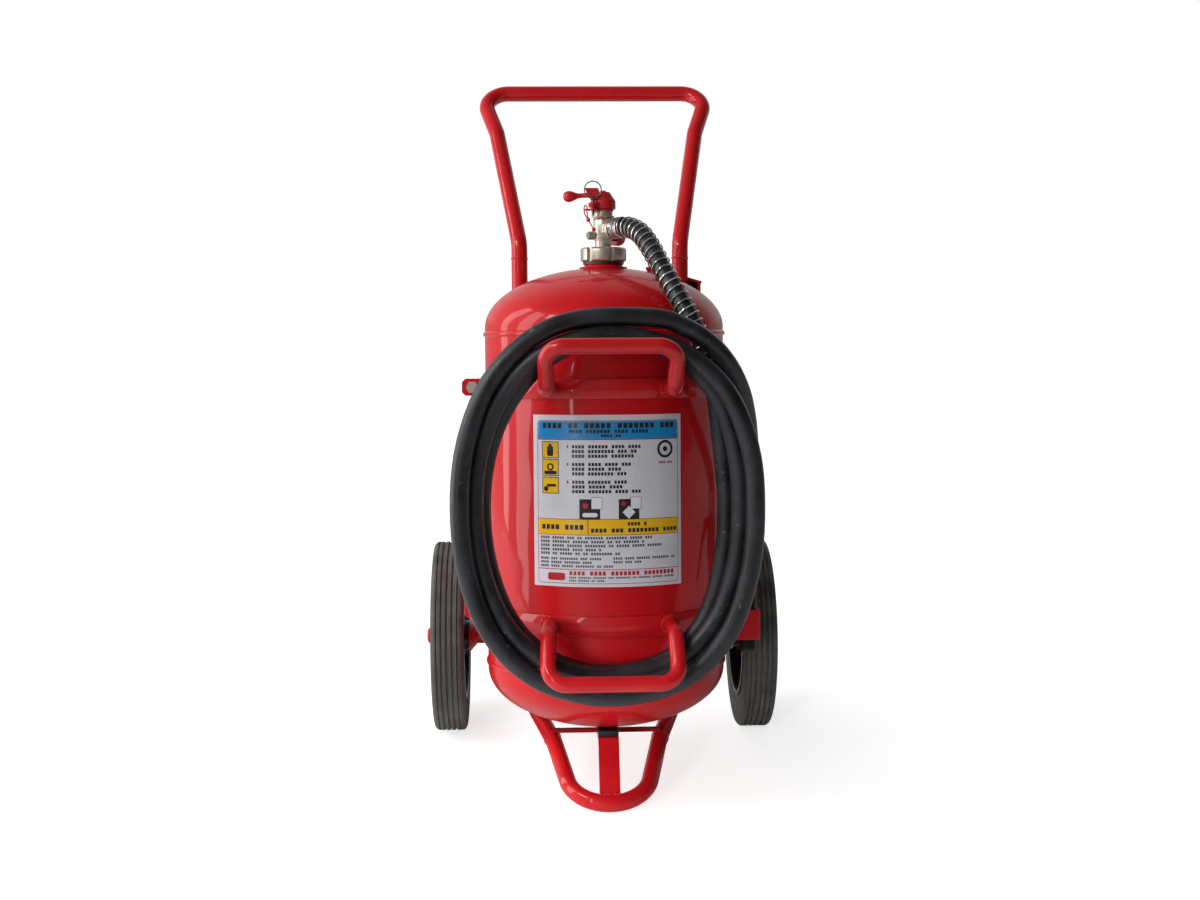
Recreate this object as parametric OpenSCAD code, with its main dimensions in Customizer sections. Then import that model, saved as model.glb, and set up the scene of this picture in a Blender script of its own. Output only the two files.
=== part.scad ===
/* [Cylinder] */
// Outside diameter of the pressure cylinder
tank_d = 350; // [344:2:352]
// Wall thickness of the shell and its two heads
tank_wall = 3; // [2.5:0.5:4]
// Distance between the two rolled seams, along the cylinder
seam_gap = 481; // [470:1:500]

/* [Stance] */
// Wheel diameter over the tyre
wheel_d = 300; // [290:2:306]
// Width of a tyre
tyre_w = 50; // [46:1:52]
// Middle of each tyre to the middle of the cylinder
wheel_x = 240; // [238:1:250]
// Axle behind the middle of the cylinder
axle_back = 195; // [193:1:200]
// Axle above the lower seam
axle_up = 3; // [0:1:10]
// Front of the foot loop ahead of the middle of the cylinder
foot_front = 120; // [110:1:130]
// Front of the foot loop below the lower seam
foot_drop = 188; // [182:1:194]

/* [Frame tube] */
// Outside diameter of the frame tube
tube_d = 25; // [24:0.5:26]
// Half the distance between the two frame tubes
tube_x = 125; // [124.5:0.5:127]
// Half the width of the handle between its corners
handle_x = 189; // [180:1:195]
// Handle bar behind the middle of the cylinder
handle_back = 345; // [335:1:350]
// Handle bar above the lower seam
handle_up = 884; // [870:1:895]

/* [Bands and hangers] */
// Height of a clamp band
band_h = 28; // [24:1:30]
// Middle of the upper band above the lower seam
upper_band_z = 404; // [400:1:408]
// Middle of the lower band above the lower seam
lower_band_z = 75; // [72:1:78]
// Diameter of the rod that a hose hanger is bent from
hanger_d = 22; // [20:0.5:22]
// Hanger bar ahead of the middle of the cylinder
hanger_front = 272; // [270:1:280]

/* [Hose] */
// Outside diameter of the hose
hose_d = 26; // [24:0.5:26]
// Wire diameter of the guard spring
guard_wire = 2.4; // [2:0.2:2.6]
// Stations round one turn of the coiled hose
turn_stations = 18; // [18]

/* [Hidden] */
$fn = 64;

// ---- sizes that follow from the ones above ----
tank_r = tank_d / 2;
tube_r = tube_d / 2;
wheel_r = wheel_d / 2;
hose_r = hose_d / 2;
hanger_r = hanger_d / 2;
skirt = 9;                       // straight flange of a head beyond its seam
head_depth = tank_r / 2;         // two-to-one elliptical head
seam_half = 4;                   // half the width of a rolled seam
neck_hole_r = 25;
band_t = 4;
band_r = tank_r + band_t;
lug_reach = 209.5;
lug_in = 2;                      // half the gap between two facing lugs
tube_back = 146.5;               // frame tubes behind the middle of the cylinder
handle_split = 600;              // where the handle bow is butt-welded to the side tubes
collar_top = 600;
nut_bottom = 586.5;
nut_top = 607;
outlet_z = 634;                  // middle of the ball and of the outlet
outlet_turn = -47.9;             // heading of the outlet, from +X towards the front
gauge_turn = 52;
nipple_turn = 200;
bonnet_bottom = 650.3;
plate_z = 660.3;
cap_bottom = 663.4;
cap_top = 688;
pin_at = [-15.5, -20];
pin_r = 2;
ring_r = 12.3;
ring_wire_r = 0.9;
ring_hinge_z = 677.7;
nozzle_at = [205, -55];
pistol_bottom = 150;
coupling_bottom = 216;
hose_end_z = 236;
trigger_at = [-80, 204];         // trigger pivot: how far back and how high
barrel_bottom = 18;
hub_half = 28;
stub_r = 10;
bush_r = 14;
running_gap = 0.05;
spoke_count = 6;

// The parked unit leans back until wheels and foot loop both stand on the floor
foot_span = norm([axle_back + foot_front, axle_up + foot_drop]);
lean_deg = acos((wheel_r - tube_r) / foot_span) - atan2(axle_back + foot_front, axle_up + foot_drop);

// ---- route of the hose, from the valve outlet to the pistol ----
hose_from_valve = [[14.7, -16.3, 634], [34, -37.6, 634], [50, -65, 624], [63, -94, 602],
    [76, -120, 574], [90, -141, 545], [104, -157, 517], [118, -167, 489],
    [130, -171, 459], [140, -172, 427], [147, -172, 393]];
hose_to_pistol = [[59, -216, 500], [99, -213, 488], [134, -205, 467], [162, -190, 437],
    [182, -166, 402], [194, -134, 366], [201, -105.7, 334], [204.5, -83.5, 310],
    [205, -68.2, 288.2], [205, -58.9, 265], [205, -55.1, 246], [205, -55, 240.5],
    [205, -55, 236]];
coil_centre = [-4, 248];
// Reach of each of the three turns to the right, down, to the left and up
coil_right = [165, 181, 198];
coil_down = [234, 234, 262];
coil_left = [172, 181, 200];
coil_up = [226, 226, 226, 254];
// How far ahead of the cylinder's middle each turn lies at the same four places
coil_front_right = [172, 203, 234];
coil_front_down = [195, 222, 222];
coil_front_left = [187, 213, 237];
coil_front_up = [172, 196, 223, 215];
// How much each turn bulges beyond an ellipse: upper right, lower right, lower left, upper left
coil_bulge = [[0.05, 0.07, 0.04, -0.01], [0.05, 0.06, 0.025, 0.02], [0.05, 0.06, 0.04, 0.03]];
coil_start = 70;                 // where the first turn picks the hose up, clockwise from the top
coil_end = 1070;

function unit(v) = v / norm(v);
function ease(f) = (1 - cos(180 * f)) / 2;
function coil_point(t) =
    let (k = min(floor(t / 360), 2), q = t - 360 * k, j = min(floor(q / 90), 3),
        s = sin(q), c = cos(q),
        side = q <= 180 ? coil_right[k] : coil_left[k],
        rise = q < 90 ? coil_up[k] : (q <= 270 ? coil_down[k] : coil_up[k + 1]),
        front = [coil_front_up[k], coil_front_right[k], coil_front_down[k],
            coil_front_left[k], coil_front_up[k + 1]],
        w = 1 + coil_bulge[k][j] * pow(2 * s * c, 2))
    [coil_centre[0] + side * s * w,
        -(front[j] + (front[j + 1] - front[j]) * ease(q / 90 - j)),
        coil_centre[1] + rise * c * w];
hose_route = concat(hose_from_valve,
    [for (t = [coil_start : 360 / turn_stations : coil_end]) coil_point(t)], hose_to_pistol);

// ---- helpers ----
// The frame is drawn round the upright cylinder and then leant back onto the floor
module lean() {
    translate([0, 0, wheel_r]) rotate([-lean_deg, 0, 0])
        translate([0, -axle_back, -axle_up]) children();
}
module place(p, x, y, z) {
    multmatrix([[x[0], y[0], z[0], p[0]], [x[1], y[1], z[1], p[1]],
        [x[2], y[2], z[2], p[2]], [0, 0, 0, 1]]) children();
}
// Stands the children's z axis along the line from a towards b
module along(a, b) {
    z = unit(b - a);
    x = unit(cross(abs(z[2]) < 0.9 ? [0, 0, 1] : [1, 0, 0], z));
    place(a, x, cross(z, x), z) children();
}
// Turns the children's x axis to a heading at a height on the cylinder's axis
module heading(turn, z) {
    translate([0, 0, z]) rotate([0, 0, turn]) rotate([0, 90, 0]) children();
}
module ring(r, hole, h) {
    difference() {
        cylinder(r = r, h = h);
        translate([0, 0, -1]) cylinder(r = hole, h = h + 2);
    }
}
module mirrored_pair() {
    children();
    mirror([1, 0, 0]) children();
}
// A round tube bent at each inner point of a list, all bends to one radius
module bent_tube(points, r, hole, bend) {
    last = len(points) - 1;
    past = 2;
    difference() {
        bent_rod(points, r, bend);
        if (hole > 0) bent_rod([for (i = [0 : last]) i == 0
            ? points[0] + past * unit(points[0] - points[1]) : i == last
            ? points[last] + past * unit(points[last] - points[last - 1]) : points[i]], hole, bend);
    }
}
// The bends are drawn down by a hair where they leave the straight lengths
module bent_rod(points, r, bend) {
    drawn = 0.06;
    lap = 0.6;
    last = len(points) - 1;
    headings = [for (i = [0 : last - 1]) unit(points[i + 1] - points[i])];
    turns = [for (i = [0 : last]) (i == 0 || i == last) ? 0 : acos(headings[i - 1] * headings[i])];
    cuts = [for (a = turns) bend * tan(a / 2)];
    for (i = [0 : last - 1]) {
        from = points[i] + headings[i] * cuts[i];
        to = points[i + 1] - headings[i] * cuts[i + 1];
        along(from, to) cylinder(r = r, h = norm(to - from));
    }
    for (i = [1 : last - 1]) {
        inward = unit(headings[i] - (headings[i - 1] * headings[i]) * headings[i - 1]);
        start = points[i] - headings[i - 1] * cuts[i];
        place(start + inward * bend, -inward, headings[i - 1], cross(-inward, headings[i - 1]))
            rotate([0, 0, -lap]) rotate_extrude(angle = turns[i] + 2 * lap)
                translate([bend, 0]) circle(r = r - drawn);
    }
}
// Directions of a path and, turned along with it, one direction across it
function path_headings(p) = [for (i = [0 : len(p) - 1])
    unit(p[min(i + 1, len(p) - 1)] - p[max(i - 1, 0)])];
function across(v, t) = unit(v - (v * t) * t);
function path_sides(t) = [for (i = 0, s = across([0, 0, 1], t[0]); i < len(t);
    i = i + 1, s = i < len(t) ? across(s, t[i]) : s) s];
// A solid cord of a given radius along a path, as a many-sided prism
module swept_cord(path, r, sides) {
    t = path_headings(path);
    s = path_sides(t);
    count = len(path);
    points = [for (i = [0 : count - 1]) for (k = [0 : sides - 1])
        path[i] + r * (cos(360 * k / sides) * s[i] + sin(360 * k / sides) * cross(t[i], s[i]))];
    walls = [for (i = [0 : count - 2]) for (k = [0 : sides - 1])
        [i * sides + k, (i + 1) * sides + k, (i + 1) * sides + (k + 1) % sides,
            i * sides + (k + 1) % sides]];
    polyhedron(points = points, convexity = 10, faces = concat(
        [[for (k = [0 : sides - 1]) k]],
        [[for (k = [sides - 1 : -1 : 0]) (count - 1) * sides + k]], walls));
}
// A point on the smooth curve through a list, at a place counted in list steps
function smooth(p, u) =
    let (i = min(floor(u), len(p) - 2), f = u - i, b = p[i], c = p[i + 1],
        a = p[max(i - 1, 0)], d = p[min(i + 2, len(p) - 1)])
    0.5 * (2 * b + f * (c - a) + f * f * (2 * a - 5 * b + 4 * c - d)
        + f * f * f * (3 * b - a - 3 * c + d));

// ---- pressure cylinder ----
module tank_shell() {
    color("firebrick") lean() translate([0, 0, seam_half])
        ring(tank_r, tank_r - tank_wall, seam_gap - 2 * seam_half);
}
// Half section of a head, measured up from its seam, open to a radius at the crown
function head_arc(r, depth, crown_r) =
    let (stop = acos(crown_r / r), steps = 20)
    [for (i = [0 : steps]) [r * cos(stop * i / steps), skirt + depth * sin(stop * i / steps)]];
module head_profile(crown_r) {
    bead = 2.5;
    inner_r = tank_r - tank_wall;
    inner = head_arc(inner_r, head_depth - tank_wall, crown_r);
    polygon(concat(
        [[inner_r, -seam_half], [tank_r, -seam_half], [tank_r + 0.7 * bead, -2.6],
            [tank_r + bead, -1], [tank_r + bead, 1], [tank_r + 0.7 * bead, 2.6],
            [tank_r, seam_half]],
        head_arc(tank_r, head_depth, crown_r),
        [for (i = [len(inner) - 1 : -1 : 0]) inner[i]]));
}
module upper_head() {
    plug_hole_r = 6;
    color("firebrick") lean() difference() {
        translate([0, 0, seam_gap]) rotate_extrude($fn = 96) head_profile(neck_hole_r);
        translate([plug_x, 0, seam_gap]) cylinder(r = plug_hole_r, h = 120);
    }
}
module lower_head() {
    color("firebrick") lean() mirror([0, 0, 1]) rotate_extrude($fn = 96) head_profile(0);
}
module neck_collar() {
    bore = 17;
    color("firebrick") lean() rotate_extrude() polygon([[bore, 568], [neck_hole_r, 568],
        [neck_hole_r, 576.8], [34.5, 576.1], [30.6, 578], [28.4, 580.2], [27.5, 582.5],
        [24, 582.5], [24, collar_top], [bore, collar_top]]);
}
module neck_seal() {
    color("dimgray") lean() translate([0, 0, 582.5]) ring(30, 24.1, 4);
}
module ring_nut() {
    lobe_r = 33.5;
    slot_w = 7;
    slots = 6;
    height = nut_top - nut_bottom;
    color("silver") lean() translate([0, 0, nut_bottom]) difference() {
        rotate_extrude() polygon([[24.2, 0], [lobe_r - 2, 0], [lobe_r, 2],
            [lobe_r, height - 2.5], [lobe_r - 2.5, height], [13.2, height], [13.2, 16.3],
            [24.2, 16.3]]);
        for (i = [0 : slots - 1]) rotate([0, 0, -131.5 + i * 360 / slots])
            translate([29.5, -slot_w / 2, -1]) cube([10, slot_w, height + 2]);
    }
}
module dip_tube() {
    color("gainsboro") lean() translate([0, 0, -52]) ring(10.9, 9, 644);
}
module dip_strainer() {
    height = 34;
    slots = 6;
    color("ivory") lean() translate([0, 0, -86]) difference() {
        ring(14, 11, height);
        for (i = [0 : slots / 2 - 1]) rotate([0, 0, 20 + i * 360 / slots])
            translate([-20, -2, 6]) cube([40, 4, 20]);
    }
}
plug_x = 70;
module dome_plug() {
    color("firebrick") lean() translate([plug_x, 0, 0]) {
        translate([0, 0, 560]) cylinder(r = 5.9, h = 13.6);
        translate([0, 0, 573.6]) cylinder(r = 7.6, h = 5, $fn = 6);
    }
}

// ---- valve ----
module valve_body() {
    color("silver") lean() difference() {
        union() {
            rotate_extrude() polygon([[0, 590], [16.8, 590], [16.8, collar_top],
                [23.5, collar_top], [23.5, 602.6], [12, 602.6], [12, 616], [14.5, 622],
                [14.5, 648], [13.5, 650], [0, 650]]);
            heading(outlet_turn, outlet_z) {
                cylinder(r = 12, h = 13);
                translate([0, 0, 12.5]) rotate([0, 0, 22.5]) cylinder(r = 15.6, h = 5, $fn = 8);
            }
            heading(nipple_turn, 624.5) cylinder(r = 4.5, h = 15);
            heading(gauge_turn, 624) cylinder(r = 5, h = 16);
        }
        translate([0, 0, 585]) cylinder(r = 10.9, h = 10);
        translate([0, 0, 590]) cylinder(r = 6, h = 40);
        translate([0, 0, 624]) cylinder(r = 10.2, h = 30);
        heading(outlet_turn, outlet_z) cylinder(r = 6, h = 30);
        heading(gauge_turn, 624) translate([0, 0, 8]) cylinder(r = 1.5, h = 10);
    }
}
module ball_seats() {
    color("ivory") lean() {
        translate([0, 0, 624]) ring(10.2, 7.6, 4);
        difference() {
            heading(outlet_turn, outlet_z) translate([0, 0, 8.7]) ring(5.9, 4.9, 4);
            translate([0, 0, 620]) cylinder(r = 10.2, h = 30);
        }
    }
}
module valve_bonnet() {
    flat = 13.6;
    color("silver") lean() difference() {
        union() {
            translate([0, 0, 645]) cylinder(r = 10.1, h = 6);
            intersection() {
                translate([0, 0, bonnet_bottom]) cylinder(r = 15, h = 9.9);
                translate([-flat, -20, 640]) cube([2 * flat, 40, 30]);
            }
            translate([0, 0, 655]) cylinder(r = 8, h = 8.2);
        }
        translate([0, 0, 640]) cylinder(r = 4 + running_gap, h = 30);
    }
}
module valve_ball() {
    color("lightgray") lean() difference() {
        translate([0, 0, outlet_z]) sphere(r = 9.4);
        translate([0, 0, 620]) cylinder(r = 5, h = 14);
        heading(outlet_turn - 90, outlet_z) translate([0, 0, -3]) cylinder(r = 5, h = 20);
        translate([-10, -1.6, 641.1]) cube([20, 3.2, 5]);
    }
}
module valve_spindle() {
    color("lightgray") lean() difference() {
        translate([0, 0, 643.5]) cylinder(r = 4, h = 42);
        translate([0, 0, 673]) cylinder(r = 1.6, h = 20);
    }
    color("lightgray") lean() translate([-3, -1.5, 641.2]) cube([6, 3, 3]);
}
module lever_cap() {
    rim_r = 18.4;
    arm_tilt = 94;
    color("red") lean() difference() {
        union() {
            rotate_extrude() polygon([[0, cap_bottom + 4], [15.6, cap_bottom + 4],
                [15.6, cap_bottom], [rim_r, cap_bottom], [rim_r, 674.5], [17.9, 675.6],
                [10.6, cap_top - 1.2], [9.6, cap_top], [0, cap_top]]);
            translate([0, 0, 685.5]) rotate([0, -arm_tilt, 0]) rotate_extrude()
                polygon([[0, 5.2], [5, 5.2], [4.4, 14], [3.6, 24], [3.3, 32], [3.8, 37],
                    [5.2, 41], [6.9, 44.5], [7.9, 48.5], [7.9, 52], [6.6, 55.5],
                    [4, 58], [0, 58.8]]);
            translate([0, -4, 0]) rotate([90, 0, 0]) linear_extrude(11.6)
                polygon([[-27, 693], [-8, 693], [-4, 684], [-10, 676], [-18, 676]]);
            intersection() {
                translate([pin_at[0], pin_at[1], 664.5]) union() {
                    cylinder(r = 6.5, h = 6.5);
                    rotate([0, 0, atan2(-pin_at[1], -pin_at[0])])
                        translate([0, -6.1, 0]) cube([12, 12.2, 6.5]);
                }
                translate([0, 0, 660]) cylinder(r = 40, h = 20);
            }
        }
        translate([0, 0, 660]) cylinder(r = 4, h = 26);
        translate([0, 0, 680]) cylinder(r = 2.2, h = 12);
        translate([pin_at[0], pin_at[1], 660]) cylinder(r = pin_r + running_gap, h = 14);
    }
}
module lever_screw() {
    color("silver") lean() {
        translate([0, 0, cap_top]) cylinder(r = 4.4, h = 2.4);
        translate([0, 0, 674]) cylinder(r = 1.55, h = 14.5);
    }
}
// Its notch is open on the side the pin leaves by when the lever is turned
module pin_plate() {
    notch_half = pin_r + 0.45;
    color("red") lean() difference() {
        translate([0, 0, plate_z]) union() {
            cylinder(r = 15.4, h = 2.5);
            translate([pin_at[0], pin_at[1], 0]) {
                cylinder(r = 5.5, h = 2.5);
                rotate([0, 0, atan2(-pin_at[1], -pin_at[0])])
                    translate([0, -5.2, 0]) cube([14, 10.4, 2.5]);
            }
            translate([-24, -14, 0]) cylinder(r = 4, h = 2.5);
            rotate([0, 0, atan2(-14, -24)]) translate([12, -3.7, 0]) cube([15, 7.4, 2.5]);
        }
        translate([0, 0, 655]) cylinder(r = 8, h = 12);
        translate([pin_at[0], pin_at[1], 655]) cylinder(r = notch_half - 0.05, h = 12);
        rotate([0, 0, atan2(pin_at[1], pin_at[0])]) rotate_extrude(angle = 40)
            translate([norm(pin_at) - notch_half, 655]) square([2 * notch_half, 12]);
        translate([-24, -14, 655]) cylinder(r = 1.6, h = 12);
    }
}
module seal_tie() {
    bead_r = 3.1;
    color("orangered") lean() {
        bent_tube([[-14.5, -24, 632], [-22.5, -23, 646], [-27.8, -20, 655], [-28.6, -17, 664],
            [-26.6, -14.4, 668.5], [-24, -14, 666], [-24, -14, 656.5],
            [-22.5, -22, 648]], 0.9, 0, 1.2);
        translate([-22.5, -23, 646]) sphere(r = bead_r);
        translate([-14.5, -24, 632]) sphere(r = bead_r);
    }
}
module safety_pin() {
    eye_r = 3.6;
    color("silver") lean() difference() {
        union() {
            translate([pin_at[0], pin_at[1], 652.5]) cylinder(r = pin_r, h = 22.5);
            translate([pin_at[0] - 1.5, pin_at[1], ring_hinge_z])
                rotate([0, 90, 0]) cylinder(r = eye_r, h = 3);
        }
        translate([pin_at[0] - 5, pin_at[1], ring_hinge_z])
            rotate([0, 90, 0]) cylinder(r = ring_wire_r + 0.6, h = 10);
    }
}
module pull_ring() {
    color("silver") lean() translate([pin_at[0], pin_at[1], ring_hinge_z + ring_r])
        rotate([90, 0, 0]) rotate_extrude() translate([ring_r, 0]) circle(r = ring_wire_r);
}
module test_nipple() {
    color("silver") lean() heading(nipple_turn, 624.5) translate([0, 0, 15]) difference() {
        union() {
            cylinder(r = 6.2, h = 7);
            translate([0, 0, 7]) cylinder(r1 = 6.2, r2 = 5.2, h = 3);
        }
        translate([0, 0, 3]) cylinder(r = 2, h = 10);
    }
}
module gauge_case() {
    color("darkred") lean() heading(gauge_turn, 624) translate([0, 0, 16]) {
        difference() {
            union() {
                cylinder(r = 6, h = 12);
                translate([0, 0, 11]) cylinder(r = 12.5, h = 12.5);
            }
            translate([0, 0, 13]) cylinder(r = 11, h = 20);
        }
    }
}
module gauge_dial() {
    color("white") lean() heading(gauge_turn, 624) translate([0, 0, 29.1])
        ring(10.9, 0.8 + running_gap, 1);
}
module gauge_needle() {
    color("black") lean() heading(gauge_turn, 624) {
        translate([0, 0, 29.2]) cylinder(r = 0.8, h = 3);
        translate([0, 0, 30.5]) cylinder(r = 1.8, h = 1.4);
        translate([-9, -0.6, 30.6]) cube([10, 1.2, 0.8]);
    }
}
module gauge_window() {
    color("lightblue", 0.5) lean() heading(gauge_turn, 624) translate([0, 0, 36.5])
        cylinder(r = 10.9, h = 1.8);
}
module outlet_nut() {
    color("silver") lean() heading(outlet_turn, outlet_z) translate([0, 0, 17.6]) difference() {
        cylinder(r = 15.2, h = norm([15, 16]) - 17.6);
        translate([0, 0, -1]) cylinder(r = 6, h = 10);
    }
}

// ---- hose ----
module hose() {
    color("dimgray") lean() swept_cord(hose_route, hose_r, 10);
}
// Close turns first, then open ones, wound round the hose where it leaves the valve
module guard_spring() {
    coil_r = hose_r + 0.4 + guard_wire / 2;
    close_turns = 6;
    close_steps = 0.55;
    open_per_step = 3.05;
    open_turns = 25;
    segs = 12;
    function step_at(n) = n < close_turns ? close_steps * n / close_turns
        : close_steps + (n - close_turns) / open_per_step;
    route = [for (i = [0 : 9]) hose_route[i]];
    samples = [for (i = [0 : (close_turns + open_turns) * segs]) i / segs];
    first_step = 0.12;
    centres = [for (n = samples) smooth(route, first_step + step_at(n))];
    t = path_headings(centres);
    s = path_sides(t);
    wire = [for (i = [0 : len(samples) - 1])
        centres[i] + coil_r * (cos(360 * samples[i]) * s[i]
            + sin(360 * samples[i]) * cross(t[i], s[i]))];
    color("silver") lean() swept_cord(wire, guard_wire / 2, 6);
}

// ---- foam pistol ----
module nozzle_coupling() {
    color("silver") lean() translate([nozzle_at[0], nozzle_at[1], coupling_bottom]) difference() {
        union() {
            cylinder(r = 17, h = 12, $fn = 6);
            cylinder(r = 14.5, h = hose_end_z - coupling_bottom);
        }
        translate([0, 0, -1]) cylinder(r = 7, h = hose_end_z - coupling_bottom + 2);
    }
}
module pistol_body() {
    boss_half = 6;
    color("dimgray") lean() translate([nozzle_at[0], nozzle_at[1], 0]) difference() {
        union() {
            translate([0, 0, pistol_bottom]) rotate_extrude() polygon([[0, 0], [15.5, 0],
                [16.5, 4], [16.5, 14], [14, 20], [14, 34], [16, 42], [16, 62],
                [14.5, 66], [0, 66]]);
            translate([-boss_half, -32.5, 196]) cube([2 * boss_half, 22, 15]);
        }
        translate([0, 0, pistol_bottom - 1]) cylinder(r = 7, h = 80);
        translate([-20, trigger_at[0] - nozzle_at[1], trigger_at[1]])
            rotate([0, 90, 0]) cylinder(r = 3, h = 40);
    }
}
module trigger_pin() {
    color("silver") lean() translate([nozzle_at[0] - 10.2, trigger_at[0], trigger_at[1]])
        rotate([0, 90, 0]) cylinder(r = 3, h = 20.4);
}
module pistol_trigger() {
    half_w = 9.3;
    ear_in = 6.3;
    color("dimgray") lean() translate([nozzle_at[0], trigger_at[0], trigger_at[1]])
        rotate([90, 0, 90]) difference() {
            union() {
                for (x = [-half_w, ear_in]) translate([0, 0, x]) linear_extrude(half_w - ear_in)
                    union() {
                        circle(r = 6);
                        polygon([[-6, 0], [5.9, -1], [-9, -28], [-17, -26]]);
                    }
                translate([0, 0, -half_w]) linear_extrude(2 * half_w)
                    polygon([[-15.5, -19], [-17.5, -30], [-26, -62], [-34, -84], [-30, -87],
                        [-22, -64], [-13, -31], [-10.5, -20]]);
            }
            translate([0, 0, -20]) cylinder(r = 3 + running_gap, h = 40);
        }
}
module foam_barrel() {
    air_holes = 6;
    color("dimgray") lean() translate([nozzle_at[0], nozzle_at[1], barrel_bottom]) difference() {
        rotate_extrude() polygon([[10, 0], [13, 0], [13.6, 1.5], [13.6, 5], [13, 6.5],
            [13, pistol_bottom - barrel_bottom], [10, pistol_bottom - barrel_bottom]]);
        for (i = [0 : air_holes / 2 - 1]) translate([0, 0, 114])
            rotate([0, 90, 25 + i * 360 / air_holes]) translate([0, 0, -20]) cylinder(r = 3, h = 40);
    }
}
// Flat strip bent into an open pocket that the barrel hangs in
module nozzle_clip() {
    low = 36;
    height = 44;
    t = 3;
    front = -74;
    back = -38;
    outer = 221;
    color("firebrick") lean() difference() {
        translate([0, 0, low]) {
            translate([150, front, 0]) cube([outer - 150, t, height]);
            translate([outer - t, front, 0]) cube([t, back - front, height]);
            translate([186, back - t, 0]) cube([outer - 186, t, height]);
        }
        translate([0, 0, low - 1]) cylinder(r = band_r + 0.05, h = height + 2);
    }
}

// ---- clamp bands and hose hangers ----
module half_band(z) {
    lug_h = band_h - 3;
    difference() {
        union() {
            translate([0, 0, z - band_h / 2]) ring(band_r, tank_r + 0.05, band_h);
            mirrored_pair() translate([tank_r + 0.2, -lug_in - band_t, z - lug_h / 2])
                cube([lug_reach - tank_r - 0.2, band_t, lug_h]);
        }
        translate([-300, -lug_in, z - 50]) cube([600, 300, 100]);
        mirrored_pair() {
            translate([194, 10, z]) rotate([90, 0, 0]) cylinder(r = 5.3, h = 30);
            for (side = [-1, 1]) translate([lug_reach, -3, z + side * lug_h / 2])
                rotate([0, 45, 0]) cube([7, 20, 7], center = true);
        }
    }
}
module upper_band_front() {
    color("firebrick") lean() half_band(upper_band_z);
}
module upper_band_rear() {
    color("firebrick") lean() mirror([0, 1, 0]) half_band(upper_band_z);
}
module lower_band_front() {
    color("firebrick") lean() half_band(lower_band_z);
}
module lower_band_rear() {
    color("firebrick") lean() mirror([0, 1, 0]) half_band(lower_band_z);
}
module band_bolts() {
    hex_r = 9.24;
    face = lug_in + band_t + 0.05;
    color("silver") lean() for (z = [upper_band_z, lower_band_z], x = [-194, 194])
        translate([x, 0, z]) rotate([90, 0, 0]) {
            translate([0, 0, face]) cylinder(r = hex_r, h = 7, $fn = 6);
            translate([0, 0, -17]) cylinder(r = 5, h = 18 + face);
            translate([0, 0, -face - 8]) difference() {
                cylinder(r = hex_r, h = 8, $fn = 6);
                translate([0, 0, -1]) cylinder(r = 5.08, h = 10);
            }
        }
}
// A rod bent into a bow that stands out from a band: first straight out, then up or down
module hanger(band_z, rise) {
    side = 88;
    shoulder = -228;
    bar_z = band_z + rise;
    half = [[side - 4, -150, band_z], [side - 2, shoulder, band_z + sign(rise)],
        [side, -hanger_front, bar_z]];
    difference() {
        bent_tube(concat(half, [for (i = [2 : -1 : 0]) [-half[i][0], half[i][1], half[i][2]]]),
            hanger_r, 0, 26);
        translate([0, 0, band_z - 40]) cylinder(r = band_r + 0.05, h = 80);
    }
}
module upper_hanger() {
    color("firebrick") lean() hanger(upper_band_z, 58);
}
module lower_hanger() {
    color("firebrick") lean() hanger(lower_band_z, -61);
}

// ---- frame ----
tube_wall = 2;
handle_knee = [161, 278, 810];
module push_handle() {
    side = [[tube_x, tube_back, handle_split], [tube_x, tube_back, 624], handle_knee,
        [handle_x, handle_back, handle_up]];
    color("firebrick") lean() bent_tube(concat(side,
        [for (i = [3 : -1 : 0]) [-side[i][0], side[i][1], side[i][2]]]),
        tube_r, tube_r - tube_wall, 35);
}
leg_bend = [106, 95, -96];
leg_end = [78.5, 0, -126];
leg_run = unit(leg_end - leg_bend);
leg_split = leg_end - 8 * leg_run;   // where the foot loop is butt-welded to the side tubes
module frame_side() {
    bent_tube([[tube_x, tube_back, handle_split], [tube_x, tube_back, -45], leg_bend,
        leg_split], tube_r, tube_r - tube_wall, 45);
}
module frame_tube_left() {
    color("firebrick") lean() mirror([1, 0, 0]) frame_side();
}
module frame_tube_right() {
    color("firebrick") lean() frame_side();
}
loop_corner = [50, -foot_front, -foot_drop];
loop_half = [leg_split + 0.05 * leg_run, leg_end, loop_corner];
loop_path = concat(loop_half,
    [for (i = [2 : -1 : 0]) [-loop_half[i][0], loop_half[i][1], loop_half[i][2]]]);
loop_bend = 61;
module foot_loop() {
    color("firebrick") lean() bent_tube(loop_path, tube_r, tube_r - tube_wall, loop_bend);
}
strap_w = 30;
strap_t = 4;
strap_knee = [-76, -107.2];
module foot_strap() {
    foot = [-foot_front + 3, -foot_drop + 11];
    reach = strap_knee - foot;
    color("firebrick") lean() difference() {
        union() {
            translate([-strap_w / 2, strap_knee[0], strap_knee[1]])
                cube([strap_w, 90, strap_t]);
            translate([-strap_w / 2, strap_knee[0], strap_knee[1]])
                rotate([atan2(reach[1], reach[0]), 0, 0]) translate([0, -norm(reach), 0])
                    cube([strap_w, norm(reach) + 1.5, strap_t]);
        }
        bent_rod(loop_path, tube_r + 0.12, loop_bend);
    }
}
module foot_crossbar() {
    color("firebrick") lean() difference() {
        translate([-80, -4, -112.4]) cube([160, 14, 5]);
        mirrored_pair() along(leg_bend - 20 * leg_run, leg_end + 60 * leg_run)
            cylinder(r = tube_r + 0.05, h = 240);
    }
}
module foot_pad() {
    color("dimgray") lean() translate([-strap_w / 2, -72, strap_knee[1] + strap_t + 0.1])
        cube([strap_w, 32, 8.6]);
}

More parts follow.
